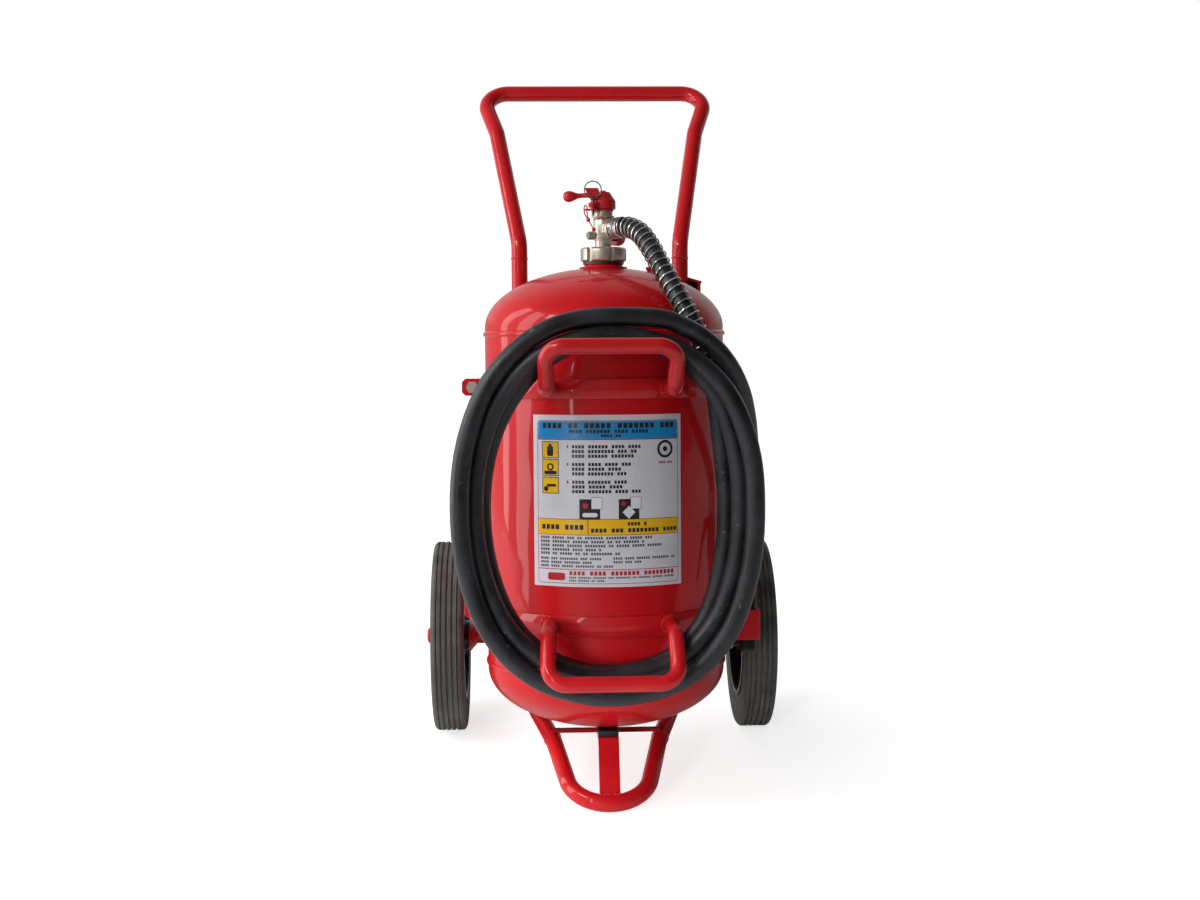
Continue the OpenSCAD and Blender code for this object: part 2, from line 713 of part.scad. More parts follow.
// ---- axle ----
beam_r = 13.5;
beam_end = 200;
flare_end = 210;
module axle_beam() {
    color("firebrick") lean() translate([0, axle_back, axle_up]) rotate([0, 90, 0]) difference() {
        union() {
            translate([0, 0, -beam_end]) cylinder(r = beam_r, h = 2 * beam_end);
            translate([0, 0, beam_end - 2])
                cylinder(r1 = beam_r, r2 = 27, h = flare_end - beam_end + 2);
            translate([0, 0, -flare_end])
                cylinder(r1 = 27, r2 = beam_r, h = flare_end - beam_end + 2);
        }
        translate([0, 0, -300]) cylinder(r = stub_r, h = 600);
    }
}
module axle_stubs() {
    color("silver") lean() translate([0, axle_back, axle_up]) rotate([0, 90, 0])
        for (x = [150, -272]) translate([0, 0, x]) cylinder(r = stub_r, h = 122);
}
module axle_washers() {
    inner_from = flare_end + 0.1;
    hub_out = wheel_x + hub_half;
    color("silver") lean() translate([0, axle_back, axle_up]) rotate([0, 90, 0])
        for (x = [inner_from, hub_out + 0.3, -inner_from - 1.6, -hub_out - 1.9])
            translate([0, 0, x]) ring(20, stub_r + 0.05, 1.6);
}
// Push-on caps over the ends of the axle
module axle_caps() {
    inside = wheel_x + hub_half + 2;
    color("firebrick") lean() mirrored_pair()
        translate([inside, axle_back, axle_up]) rotate([0, 90, 0]) difference() {
            rotate_extrude() polygon([[0, 0], [15, 0], [15, 2.2], [12.2, 3.4], [12, 6],
                [9.5, 7.8], [5, 8.6], [0, 8.8]]);
            translate([0, 0, -1]) cylinder(r = stub_r + 0.05, h = 3.1);
        }
}
module axle_gussets() {
    t = 6;
    color("firebrick") lean() difference() {
        mirrored_pair() translate([tube_x - t / 2, 0, 0]) rotate([90, 0, 90]) linear_extrude(t)
            polygon([[152, 56], [166, 56], [208, 20], [214, 6], [210, -10], [196, -18],
                [166, -18], [152, -24]]);
        mirrored_pair() translate([tube_x, tube_back, -44]) cylinder(r = tube_r + 0.05, h = 120);
        translate([-200, axle_back, axle_up]) rotate([0, 90, 0])
            cylinder(r = beam_r + 0.05, h = 400);
    }
}
bracket_z = 556;
bracket_hole_r = 4;
module rear_bracket() {
    t = 4;
    color("firebrick") lean() difference() {
        union() {
            translate([tube_x + 6, tube_back - 14, bracket_z + 11]) rotate([0, 17, 0])
                cube([27, 28, t]);
            translate([tube_x + 27, tube_back - 14, bracket_z - 10.5]) cube([t, 28, 16]);
        }
        translate([tube_x, tube_back, bracket_z - 60]) cylinder(r = tube_r + 0.05, h = 120);
        translate([tube_x + 20, tube_back, bracket_z - 5]) rotate([0, 90, 0])
            cylinder(r = bracket_hole_r, h = 30);
    }
}

// ---- wheels ----
tyre_seat_r = 100;
side_step_r = 113;
module on_axle(x) {
    translate([x, axle_back, axle_up]) rotate([0, 90, 0]) children();
}
module tyre() {
    shoulder = 8;
    groove = 3;
    grooves = 5;
    half = tyre_w / 2;
    pitch = tyre_w / (grooves + 1);
    rotate_extrude($fn = 120) difference() {
        union() {
            translate([tyre_seat_r, 3 - half]) square([20, tyre_w - 6]);
            translate([side_step_r, -half]) square([wheel_r - shoulder - side_step_r, tyre_w]);
            translate([side_step_r, shoulder - half])
                square([wheel_r - side_step_r, tyre_w - 2 * shoulder]);
            for (y = [-1, 1]) translate([wheel_r - shoulder, y * (half - shoulder)])
                circle(r = shoulder);
        }
        for (i = [1 : grooves]) translate([wheel_r - groove, i * pitch - half - groove / 2])
            square([2 * groove, groove]);
    }
}
module rim() {
    inner_r = 93.5;
    half = tyre_w / 2 - 2.8;
    difference() {
        union() {
            rotate_extrude($fn = 120) polygon([[inner_r, -half - 2.4], [101.5, -half - 2.4],
                [101.5, -half - 0.1], [99.9, -half - 0.1], [99.9, half + 0.1],
                [101.5, half + 0.1], [101.5, half + 2.4], [inner_r, half + 2.4],
                [inner_r, half - 2], [95.5, half - 4], [95.5, 4 - half], [inner_r, 2 - half]]);
            translate([0, 0, -hub_half]) cylinder(r = 24, h = 2 * hub_half);
            for (i = [0 : spoke_count - 1]) rotate([0, 0, i * 360 / spoke_count]) spoke();
        }
        translate([0, 0, -hub_half - 1]) cylinder(r = bush_r, h = 2 * hub_half + 2);
    }
}
// A flat tapered spoke with a rib along its middle
module spoke() {
    translate([0, 0, -5]) linear_extrude(10)
        polygon([[15, -12], [97, -9.5], [97, 9.5], [15, 12]]);
    translate([16, -3, -13]) cube([81, 6, 26]);
}
module bush() {
    translate([0, 0, -hub_half]) ring(bush_r, stub_r + running_gap, 2 * hub_half);
}
module left_tyre() {
    color("dimgray") lean() on_axle(-wheel_x) tyre();
}
module right_tyre() {
    color("dimgray") lean() on_axle(wheel_x) tyre();
}
module left_rim() {
    color("black") lean() on_axle(-wheel_x) rim();
}
module right_rim() {
    color("black") lean() on_axle(wheel_x) rim();
}
module left_bush() {
    color("ivory") lean() on_axle(-wheel_x) bush();
}
module right_bush() {
    color("ivory") lean() on_axle(wheel_x) bush();
}

tank_shell();
upper_head();
lower_head();
neck_collar();
neck_seal();
ring_nut();
dip_tube();
dip_strainer();
dome_plug();
valve_body();
valve_bonnet();
ball_seats();
pin_plate();
seal_tie();
test_nipple();
gauge_case();
gauge_dial();
gauge_window();
outlet_nut();
guard_spring();
hose();
nozzle_coupling();
pistol_body();
trigger_pin();
foam_barrel();
nozzle_clip();
upper_band_front();
upper_band_rear();
lower_band_front();
lower_band_rear();
band_bolts();
upper_hanger();
lower_hanger();
push_handle();
frame_tube_left();
frame_tube_right();
foot_loop();
foot_strap();
foot_crossbar();
foot_pad();
axle_beam();
axle_gussets();
axle_stubs();
axle_washers();
axle_caps();
rear_bracket();
left_tyre();
left_rim();
left_bush();
right_tyre();
right_rim();
right_bush();
valve_spindle();
valve_ball();
lever_cap();
lever_screw();
safety_pin();
pull_ring();
pistol_trigger();
gauge_needle();
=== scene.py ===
"""A wheeled foam fire extinguisher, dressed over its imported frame.

The hose, label, tyres, welds, small fittings and finishes are made here. Blender's lengths
are metres. Sizes named or described as millimetres are drawn round the upright cylinder.
"""

import logging
import math
from collections.abc import Iterator
from contextlib import contextmanager
from dataclasses import dataclass, field
from enum import Enum

import bpy
from mathutils import Matrix, Vector, noise


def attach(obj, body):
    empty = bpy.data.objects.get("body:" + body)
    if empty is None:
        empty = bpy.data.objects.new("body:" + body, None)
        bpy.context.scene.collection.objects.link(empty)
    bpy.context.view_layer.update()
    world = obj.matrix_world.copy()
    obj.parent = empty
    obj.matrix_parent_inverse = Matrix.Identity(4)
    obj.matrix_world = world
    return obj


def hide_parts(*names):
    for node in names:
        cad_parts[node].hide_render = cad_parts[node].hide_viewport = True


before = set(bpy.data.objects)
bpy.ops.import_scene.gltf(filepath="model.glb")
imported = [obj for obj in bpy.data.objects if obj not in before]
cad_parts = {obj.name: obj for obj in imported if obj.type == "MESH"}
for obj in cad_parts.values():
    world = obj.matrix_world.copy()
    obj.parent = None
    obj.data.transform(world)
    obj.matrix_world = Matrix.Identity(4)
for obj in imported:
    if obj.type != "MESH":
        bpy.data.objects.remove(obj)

LOG = logging.getLogger("extinguisher")
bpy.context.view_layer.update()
Material = bpy.types.Material
Node = bpy.types.Node
Piece = bpy.types.Object
Socket = bpy.types.NodeSocket
Tree = bpy.types.NodeTree
Inputs = dict[str | int, object]
Pair = tuple[float, float]
Triple = tuple[float, float, float]

FROM_MM = Matrix.Diagonal((0.001, 0.001, 0.001, 1))
X_TO_Z = Matrix.Rotation(math.radians(-90), 4, "Y")
MERGE_GAP = 1e-5  # metres within which doubled points become one
WHITE = (1, 1, 1, 1)
INK_LAYER_MM = 0.05

# A plain draw of whole numbers, the same on every run, which spaces the panel's dashes
DRAW_FACTOR, DRAW_STEP, DRAW_RANGE, DRAW_COARSE = 1103515245, 12345, 2**31, 2**16


# ---------------------------------------------------------------- shared helpers


def linear(hex_colour: str) -> tuple[float, float, float, float]:
    """Turns an sRGB colour into the linear values that shaders take.

    Args:
        hex_colour: the colour as "#rrggbb".

    Returns:
        Red, green, blue and an alpha of 1.
    """
    parts = [int(hex_colour[i : i + 2], 16) / 255 for i in (1, 3, 5)]
    low = [c / 12.92 if c <= 0.04045 else ((c + 0.055) / 1.055) ** 2.4 for c in parts]
    return (low[0], low[1], low[2], 1.0)


def add_node(tree: Tree, kind: str, inputs: Inputs | None = None, **settings: object) -> Node:
    """Adds a node, sets it and links it.

    Args:
        tree: the node tree it goes in.
        kind: the node's type name.
        inputs: input names or numbers, each with a value, a socket to link from, or a
            node, which stands for the one result that its settings leave in use.
        **settings: attribute names and their values.

    Returns:
        The new node.
    """
    node = tree.nodes.new(kind)
    for name, value in settings.items():
        setattr(node, name, value)
    for key, value in (inputs or {}).items():
        if isinstance(value, Node):
            value = next(result for result in value.outputs if result.enabled)
        if isinstance(value, Socket):
            tree.links.new(value, node.inputs[key])
        else:
            node.inputs[key].default_value = value
    return node


def deselect() -> None:
    """Leaves nothing selected and no object active."""
    if bpy.context.mode != "OBJECT":
        bpy.ops.object.mode_set(mode="OBJECT")
    bpy.ops.object.select_all(action="DESELECT")


def activate(piece: Piece) -> None:
    """Makes one object the only selected one and the active one."""
    deselect()
    piece.select_set(True)
    bpy.context.view_layer.objects.active = piece


def fresh(name: str) -> Piece:
    """Names the primitive that was just added, and its mesh, and returns it."""
    piece = bpy.context.object
    piece.name = name
    piece.data.name = name
    return piece


def join(name: str, pieces: list[Piece]) -> Piece:
    """Joins several objects into the first one.

    Args:
        name: the joined object's name.
        pieces: the objects, at least one.

    Returns:
        The joined object.
    """
    activate(pieces[0])
    for piece in pieces[1:]:
        piece.select_set(True)
    if len(pieces) > 1:
        bpy.ops.object.join()
    return fresh(name)


def settle(piece: Piece, place: Matrix | None = None) -> Piece:
    """Puts an object's place into its mesh, after moving it by a matrix if one is given."""
    activate(piece)
    if place is not None:
        piece.matrix_world = place @ piece.matrix_world
    bpy.ops.object.transform_apply(location=True, rotation=True, scale=True)
    return piece


def apply_modifier(piece: Piece, kind: str, **settings: object) -> None:
    """Adds a modifier with its settings and applies it."""
    activate(piece)
    modifier = piece.modifiers.new(kind.title(), kind)
    for name, value in settings.items():
        setattr(modifier, name, value)
    bpy.ops.object.modifier_apply(modifier=modifier.name)


def smooth(piece: Piece, degrees: float = 35) -> None:
    """Shades an object smooth, except at edges sharper than an angle."""
    activate(piece)
    bpy.ops.object.shade_smooth_by_angle(angle=math.radians(degrees))


@contextmanager
def whole_mesh() -> Iterator[None]:
    """Edit mode with the active mesh selected all over, and object mode afterwards."""
    bpy.ops.object.mode_set(mode="EDIT")
    bpy.ops.mesh.select_all(action="SELECT")
    yield
    bpy.ops.object.mode_set(mode="OBJECT")


def clean(piece: Piece) -> None:
    """Merges doubled points and turns every face outwards."""
    activate(piece)
    with whole_mesh():
        bpy.ops.mesh.remove_doubles(threshold=MERGE_GAP)
        bpy.ops.mesh.normals_make_consistent(inside=False)


def through_points(points: list[Vector], per_step: int) -> list[Vector]:
    """Points on the smooth curve through given points.

    Args:
        points: the points.
        per_step: how many new points for each stretch between two of them.

    Returns:
        The new points, the last given one included.
    """
    last = len(points) - 1
    out = []
    for i in range(last):
        a, b = points[max(i - 1, 0)], points[i]
        c, d = points[i + 1], points[min(i + 2, last)]
        for k in range(per_step):
            f = k / per_step
            bend = f * f * (2 * a - 5 * b + 4 * c - d) + f**3 * (3 * b - a - 3 * c + d)
            out.append(0.5 * (2 * b + f * (c - a) + bend))
    return [*out, points[last]]


def drop_faces(piece: Piece, unwanted: set[int]) -> None:
    """Deletes the faces of the given indices."""
    activate(piece)
    bpy.ops.object.mode_set(mode="EDIT")
    bpy.ops.mesh.select_mode(type="FACE")
    bpy.ops.object.mode_set(mode="OBJECT")
    for face in piece.data.polygons:
        face.select = face.index in unwanted
    bpy.ops.object.mode_set(mode="EDIT")
    bpy.ops.mesh.delete(type="FACE")
    bpy.ops.mesh.select_mode(type="VERT")
    bpy.ops.object.mode_set(mode="OBJECT")


def lathe(
    name: str,
    profile: list[Pair],
    steps: int,
    place: Matrix,
    edge_deg: float = 35,
) -> Piece:
    """Turns a closed profile round the X axis and stands it in place.

    Args:
        name: the new object's name.
        profile: points of distance along X and radius in millimetres, round the section.
        steps: stations round the full turn.
        place: takes the turned shape, in metres, to where it belongs.
        edge_deg: the angle past which an edge is left sharp.

    Returns:
        The turned object, closed and facing outwards.
    """
    deselect()
    bpy.ops.mesh.primitive_circle_add(vertices=len(profile), radius=1, fill_type="NOTHING")
    piece = fresh(name)
    for point, (along, radius) in zip(piece.data.vertices, profile):
        point.co = (along, 0, radius)
    with whole_mesh():
        bpy.ops.mesh.spin(steps=steps, angle=math.tau, center=(0, 0, 0), axis=(1, 0, 0))
    clean(piece)
    settle(piece, place @ FROM_MM)
    smooth(piece, edge_deg)
    return piece


def flat_ring(
    name: str, radius: float, hole: float, sides: int, at: Pair = (0, 0)
) -> Piece:
    """Draws a flat disc or regular shape, or a ring of it.

    Args:
        name: the new object's name.
        radius: its outer radius.
        hole: the radius of its hole, or 0.
        sides: how many sides it has.
        at: its middle.

    Returns:
        The flat shape, facing up.
    """
    deselect()
    bpy.ops.mesh.primitive_circle_add(
        vertices=sides, radius=radius, fill_type="NGON", location=(*at, 0)
    )
    piece = fresh(name)
    if hole:
        with whole_mesh():
            bpy.ops.mesh.inset(thickness=radius - hole, depth=0)
            bpy.ops.mesh.delete(type="FACE")
    return piece


def tube(
    name: str,
    points: list[Vector],
    radius: float,
    sides: int,
    swell: list[float] | None = None,
    closed: bool = False,
) -> Piece:
    """A round tube, rod or bead along a line, as a mesh.

    Args:
        name: the new object's name.
        points: the line.
        radius: the tube's radius.
        sides: faces round it, a multiple of 4.
        swell: how many times the radius each point has, where it varies.
        closed: whether the line's end meets its start.

    Returns:
        The tube.
    """
    curve = bpy.data.curves.new(name, "CURVE")
    curve.dimensions = "3D"
    curve.twist_mode = "MINIMUM"
    curve.bevel_depth = radius
    curve.bevel_resolution = sides // 4 - 1
    curve.use_fill_caps = True
    line = curve.splines.new("POLY")
    line.points.add(len(points) - 1)
    for i, (spot, point) in enumerate(zip(line.points, points)):
        spot.co = (*point, 1)
        spot.radius = swell[i] if swell else 1
    line.use_cyclic_u = closed
    piece = bpy.data.objects.new(name, curve)
    bpy.context.scene.collection.objects.link(piece)
    activate(piece)
    bpy.ops.object.convert(target="MESH")
    piece = fresh(name)
    smooth(piece, degrees=50)
    return piece


def axis_matrix(start: Vector, toward: Vector) -> Matrix:
    """A matrix that stands the Z axis along a direction, from a point."""
    return Matrix.Translation(start) @ toward.to_track_quat("Z", "Y").to_matrix().to_4x4()


# ---------------------------------------------------------------- stance of the parked unit


@dataclass(frozen=True)
class Stance:
    """Where the upright cylinder's own frame lies in the row frame, in metres.

    Pieces are drawn round the upright cylinder, with z = 0 at its lower seam, and then
    leant back about the axle onto the floor.
    """

    wheel_radius: float = 0.150
    tube_radius: float = 0.0125
    axle_back: float = 0.195
    axle_up: float = 0.003
    foot_front: float = 0.120
    foot_drop: float = 0.188

    @property
    def lean(self) -> float:
        """How far the unit leans back, in radians."""
        run = self.axle_back + self.foot_front
        rise = self.axle_up + self.foot_drop
        rest = (self.wheel_radius - self.tube_radius) / math.hypot(run, rise)
        return math.acos(rest) - math.atan2(run, rise)

    @property
    def matrix(self) -> Matrix:
        """Takes a point of the upright frame into the row frame."""
        return (
            Matrix.Translation((0, 0, self.wheel_radius))
            @ Matrix.Rotation(-self.lean, 4, "X")
            @ Matrix.Translation((0, -self.axle_back, -self.axle_up))
        )

    def point(self, x: float, y: float, z: float) -> Vector:
        """Takes millimetres in the upright frame into metres in the row frame."""
        return self.matrix @ Vector((x / 1000, y / 1000, z / 1000))


STANCE = Stance()


# ---------------------------------------------------------------- finishes


def bare_material(name: str) -> Material:
    """Makes a material with an empty node tree."""
    material = bpy.data.materials.new(name)
    material.use_nodes = True
    material.node_tree.nodes.clear()
    return material


@dataclass(frozen=True)
class Finish:
    """What every finish shares: its name, the record's slot and how its material is made."""

    name: str
    slot: str

    def surface(self, tree: Tree, at: Socket) -> Inputs:
        """Adds the patterns of a finish. Each finish has its own.

        Args:
            tree: the material's node tree.
            at: the place on the piece, in metres.

        Returns:
            The shader's inputs.
        """
        raise NotImplementedError

    def material(self) -> Material:
        """The finish's material, made on first use."""
        material = bpy.data.materials.get(self.name)
        if material is None:
            material = bare_material(self.name)
            tree = material.node_tree
            at = add_node(tree, "ShaderNodeTexCoord").outputs["Object"]
            shader = add_node(tree, "ShaderNodeBsdfPrincipled", self.surface(tree, at))
            add_node(tree, "ShaderNodeOutputMaterial", {"Surface": shader})
        return material

    def dress(self, piece: Piece) -> None:
        """Gives a piece this material in every slot."""
        if not piece.material_slots:
            piece.data.materials.append(None)
        for holder in piece.material_slots:
            holder.link = "OBJECT"
            holder.material = self.material()


@dataclass(frozen=True)
class SprayedEnamel(Finish):
    """Stoved gloss enamel, sprayed over steel: a fine orange peel under a hard clear gloss."""

    colour: str = "#c8141b"
    thin: str = "#bb1017"
    roughness: float = 0.34
    coat: float = 0.5
    undercoat_gloss: float = 0.1
    coat_roughness: float = 0.05
    clouds_per_m: float = 9
    dust_per_m: float = 45
    dust_gloss: Pair = (-0.07, 0.10)
    peel_mm: float = 2.2
    peel: float = 0.05
    sag_mm: float = 70
    sag: float = 0.10

    def surface(self, tree: Tree, at: Socket) -> Inputs:
        """Cloudy cover and a rippled surface, from real spray and panel sizes.

        Args:
            tree: the material's node tree.
            at: the place on the piece, in metres.

        Returns:
            The shader's inputs.
        """
        cloud, dust, peel, sag = (
            add_node(tree, "ShaderNodeTexNoise", {"Vector": at, "Scale": scale, "Detail": detail})
            for scale, detail in (
                (self.clouds_per_m, 4),
                (self.dust_per_m, 6),
                (1000 / self.peel_mm, 1),
                (1000 / self.sag_mm, 0),
            )
        )
        tints = {0: cloud, 6: linear(self.colour), 7: linear(self.thin)}
        cover = add_node(tree, "ShaderNodeMix", tints, data_type="RGBA")
        low, high = (self.roughness + step for step in self.dust_gloss)
        gloss = add_node(tree, "ShaderNodeMapRange", {"Value": dust, "To Min": low, "To Max": high})
        waves = {"Strength": self.sag, "Distance": 0.02, "Height": sag}
        ripple = add_node(tree, "ShaderNodeBump", waves)
        pits = {"Strength": self.peel, "Distance": 0.001, "Height": peel, "Normal": ripple}
        return {
            "Base Color": cover,
            "Roughness": gloss,
            "Normal": add_node(tree, "ShaderNodeBump", pits),
            "Coat Normal": ripple,
            "IOR": 1.5,
            "Specular IOR Level": self.undercoat_gloss,
            "Coat Weight": self.coat,
            "Coat Roughness": self.coat_roughness,
        }


@dataclass(frozen=True)
class BareMetal(Finish):
    """Plated or drawn metal: a tinted mirror blurred by handling, with fine tool marks.

    The marks are drawn coarser than real ones, so that they show.
    """

    colour: str = "#c9c0b4"
    dull: str = "#b5aca0"
    roughness: float = 0.30
    patches_per_m: float = 70
    patch_gloss: Pair = (-0.05, 0.07)
    mark_mm: float = 0.7
    mark: float = 0.04
    metallic: float = 1.0

    def surface(self, tree: Tree, at: Socket) -> Inputs:
        """Dull patches over the plate, and tool marks.

        Args:
            tree: the material's node tree.
            at: the place on the piece, in metres.

        Returns:
            The shader's inputs.
        """
        patch, marks = (
            add_node(tree, "ShaderNodeTexNoise", {"Vector": at, "Scale": scale, "Detail": detail})
            for scale, detail in ((self.patches_per_m, 4), (1000 / self.mark_mm, 3))
        )
        tints = {0: patch, 6: linear(self.colour), 7: linear(self.dull)}
        low, high = (self.roughness + step for step in self.patch_gloss)
        blur = {"Value": patch, "From Min": 0.3, "From Max": 0.7, "To Min": low, "To Max": high}
        cuts = {"Strength": self.mark, "Distance": 0.0004, "Height": marks}
        return {
            "Base Color": add_node(tree, "ShaderNodeMix", tints, data_type="RGBA"),
            "Roughness": add_node(tree, "ShaderNodeMapRange", blur),
            "Normal": add_node(tree, "ShaderNodeBump", cuts),
            "Metallic": self.metallic,
        }


@dataclass(frozen=True)
class CuredRubber(Finish):
    """Carbon-black rubber cured in a mould or a wrap: dead black with a dusty bloom."""

    colour: str = "#111317"
    bloom: str = "#262a31"
    worn: str = "#77787a"
    roughness: float = 0.5
    bloom_gloss: Pair = (-0.14, 0.1)
    coat: float = 0.25
    coat_roughness: float = 0.36
    clouds_per_m: float = 24
    streaks_per_m: float = 90
    grain_mm: float = 1.2
    grain: float = 0.25
    scuff: float = 0.9

    def surface(self, tree: Tree, at: Socket) -> Inputs:
        """Black body, a grey bloom in clouds, pale scuffs in short streaks.

        Args:
            tree: the material's node tree.
            at: the place on the piece, in metres.

        Returns:
            The shader's inputs.
        """
        cloud, streak, grain = (
            add_node(
                tree,
                "ShaderNodeTexNoise",
                {"Vector": at, "Scale": scale, "Detail": detail, "Distortion": curl},
            )
            for scale, detail, curl in (
                (self.clouds_per_m, 6, 0),
                (self.streaks_per_m, 8, 1.5),
                (1000 / self.grain_mm, 2, 0),
            )
        )
        spread, rub = (
            add_node(
                tree,
                "ShaderNodeMapRange",
                {"Value": pattern, "From Min": start, "From Max": full, "To Max": most},
            )
            for pattern, start, full, most in (
                (cloud, 0.38, 0.72, 1),
                (streak, 0.66, 0.80, self.scuff),
            )
        )
        dusty = {0: spread, 6: linear(self.colour), 7: linear(self.bloom)}
        body = add_node(tree, "ShaderNodeMix", dusty, data_type="RGBA")
        scuffed = {0: rub, 6: body, 7: linear(self.worn)}
        low, high = (self.roughness + step for step in self.bloom_gloss)
        blur = {"Value": spread, "To Min": low, "To Max": high}
        skin = {"Strength": self.grain, "Distance": 0.0004, "Height": grain}
        return {
            "Base Color": add_node(tree, "ShaderNodeMix", scuffed, data_type="RGBA"),
            "Roughness": add_node(tree, "ShaderNodeMapRange", blur),
            "Normal": add_node(tree, "ShaderNodeBump", skin),
            "IOR": 1.52,
            "Coat Weight": self.coat,
            "Coat Roughness": self.coat_roughness,
        }


@dataclass(frozen=True)
class MouldedPlastic(Finish):
    """Injection-moulded plastic: even colour and the fine spark-eroded grain of its mould.

    The grain is drawn coarser than a real one, so that it shows.
    """

    colour: str = "#1d1e20"
    shade: str = "#18191b"
    roughness: float = 0.42
    flow_gloss: Pair = (-0.06, 0.06)
    flows_per_m: float = 30
    grain_mm: float = 0.7
    grain: float = 0.15

    def surface(self, tree: Tree, at: Socket) -> Inputs:
        """Slight flow shading and a fine grain.

        Args:
            tree: the material's node tree.
            at: the place on the piece, in metres.

        Returns:
            The shader's inputs.
        """
        flow, grain = (
            add_node(tree, "ShaderNodeTexNoise", {"Vector": at, "Scale": scale, "Detail": detail})
            for scale, detail in ((self.flows_per_m, 3), (1000 / self.grain_mm, 2))
        )
        tints = {0: flow, 6: linear(self.colour), 7: linear(self.shade)}
        low, high = (self.roughness + step for step in self.flow_gloss)
        blur = {"Value": flow, "To Min": low, "To Max": high}
        skin = {"Strength": self.grain, "Distance": 0.0003, "Height": grain}
        return {
            "Base Color": add_node(tree, "ShaderNodeMix", tints, data_type="RGBA"),
            "Roughness": add_node(tree, "ShaderNodeMapRange", blur),
            "Normal": add_node(tree, "ShaderNodeBump", skin),
            "IOR": 1.5,
        }


@dataclass(frozen=True)
class ClearPane(Finish):
    """Clear acrylic of a gauge window: dust shows only as a slight haze in its gloss."""

    colour: str = "#f4f7f8"
    dust_per_m: float = 600
    gloss: Pair = (0.01, 0.09)

    def surface(self, tree: Tree, at: Socket) -> Inputs:
        """A clear pane with faint dust on it.

        Args:
            tree: the material's node tree.
            at: the place on the piece, in metres.

        Returns:
            The shader's inputs.
        """
        specks = {"Vector": at, "Scale": self.dust_per_m, "Detail": 4}
        dust = add_node(tree, "ShaderNodeTexNoise", specks)
        haze = {"Value": dust, "To Min": self.gloss[0], "To Max": self.gloss[1]}
        return {
            "Base Color": linear(self.colour),
            "Roughness": add_node(tree, "ShaderNodeMapRange", haze),
            "IOR": 1.49,
            "Transmission Weight": 1.0,
        }


TANK_RED = SprayedEnamel("red_stove_enamel_on_cylinder", "red_enamel")
# Foot crossbar enamel: its darker red is painted shade under the cylinder, and with no clear coat
# and a rough gloss it stays matt.
PAINTED_SHADE_RED = SprayedEnamel(
    "red_enamel_darkened_as_painted_shade",
    "red_enamel",
    colour="#9c1419",
    thin="#8a1015",
    roughness=0.6,
    coat=0.0,
    undercoat_gloss=0.08,
)
TUBE_RED = SprayedEnamel(
    "red_stove_enamel_on_tube",
    "red_enamel",
    colour="#c8181f",
    thin="#b9131a",
    coat=0.75,
    sag_mm=30,
    sag=0.04,
)
CAP_RED = MouldedPlastic(
    "red_nylon_cap", "red_enamel", colour="#c81e26", shade="#b5161d", roughness=0.34, grain=0.08
)
RIM_BLACK = SprayedEnamel(
    "black_enamel_on_rim",
    "black_enamel",
    colour="#16181f",
    thin="#101116",
    roughness=0.36,
    coat=0.3,
    sag=0.04,
)
NICKEL = BareMetal(
    "satin_nickel_on_brass",
    "nickel",
    colour="#d6ccc0",
    dull="#c0b7aa",
    roughness=0.36,
    metallic=0.8,
)
SPRING_STEEL = BareMetal(
    "bright_spring_wire",
    "steel_wire",
    colour="#e2e0da",
    dull="#bab7b1",
    roughness=0.24,
    metallic=0.85,
)
DULL_STEEL = BareMetal(
    "dull_steel_wire", "steel_wire", colour="#958d84", dull="#736b63", roughness=0.36
)
ZINC = BareMetal(
    "zinc_plate_on_steel",
    "zinc_bolt",
    colour="#dcdcda",
    dull="#bcbcbb",
    roughness=0.4,
    metallic=0.7,
)
HOSE_RUBBER = CuredRubber("wrapped_hose_rubber", "hose_rubber")
TYRE_RUBBER = CuredRubber(
    "moulded_tyre_rubber",
    "tyre_rubber",
    colour="#444441",
    bloom="#66665f",
    roughness=0.70,
    coat=0.0,
    grain_mm=2.0,
    scuff=0.2,
)
SEAL_RUBBER = CuredRubber("moulded_seal_rubber", "seal_rubber", bloom="#2c2c2d", scuff=0.1)
BLACK_NYLON = MouldedPlastic("glass_filled_black_nylon", "dark_plastic")
NATURAL_NYLON = MouldedPlastic(
    "natural_nylon", "white_plastic", colour="#d9d4c4", shade="#cdc7b5", roughness=0.4
)
SEAL_ORANGE = MouldedPlastic(
    "orange_seal_plastic", "orange_plastic", colour="#d8301a", shade="#c42616", roughness=0.28
)
DIAL_WHITE = MouldedPlastic(
    "printed_dial_card", "dial_white", colour="#eeeeea", shade="#e4e4df", grain=0.03
)
SCALE_RED = MouldedPlastic(
    "red_dial_ink", "dial_white", colour="#c5232b", shade="#bb1f27", grain=0.03
)
SCALE_GREEN = MouldedPlastic(
    "green_dial_ink", "dial_white", colour="#2e8a45", shade="#2a7f3f", grain=0.03
)
WINDOW = ClearPane("clear_acrylic", "clear_window")

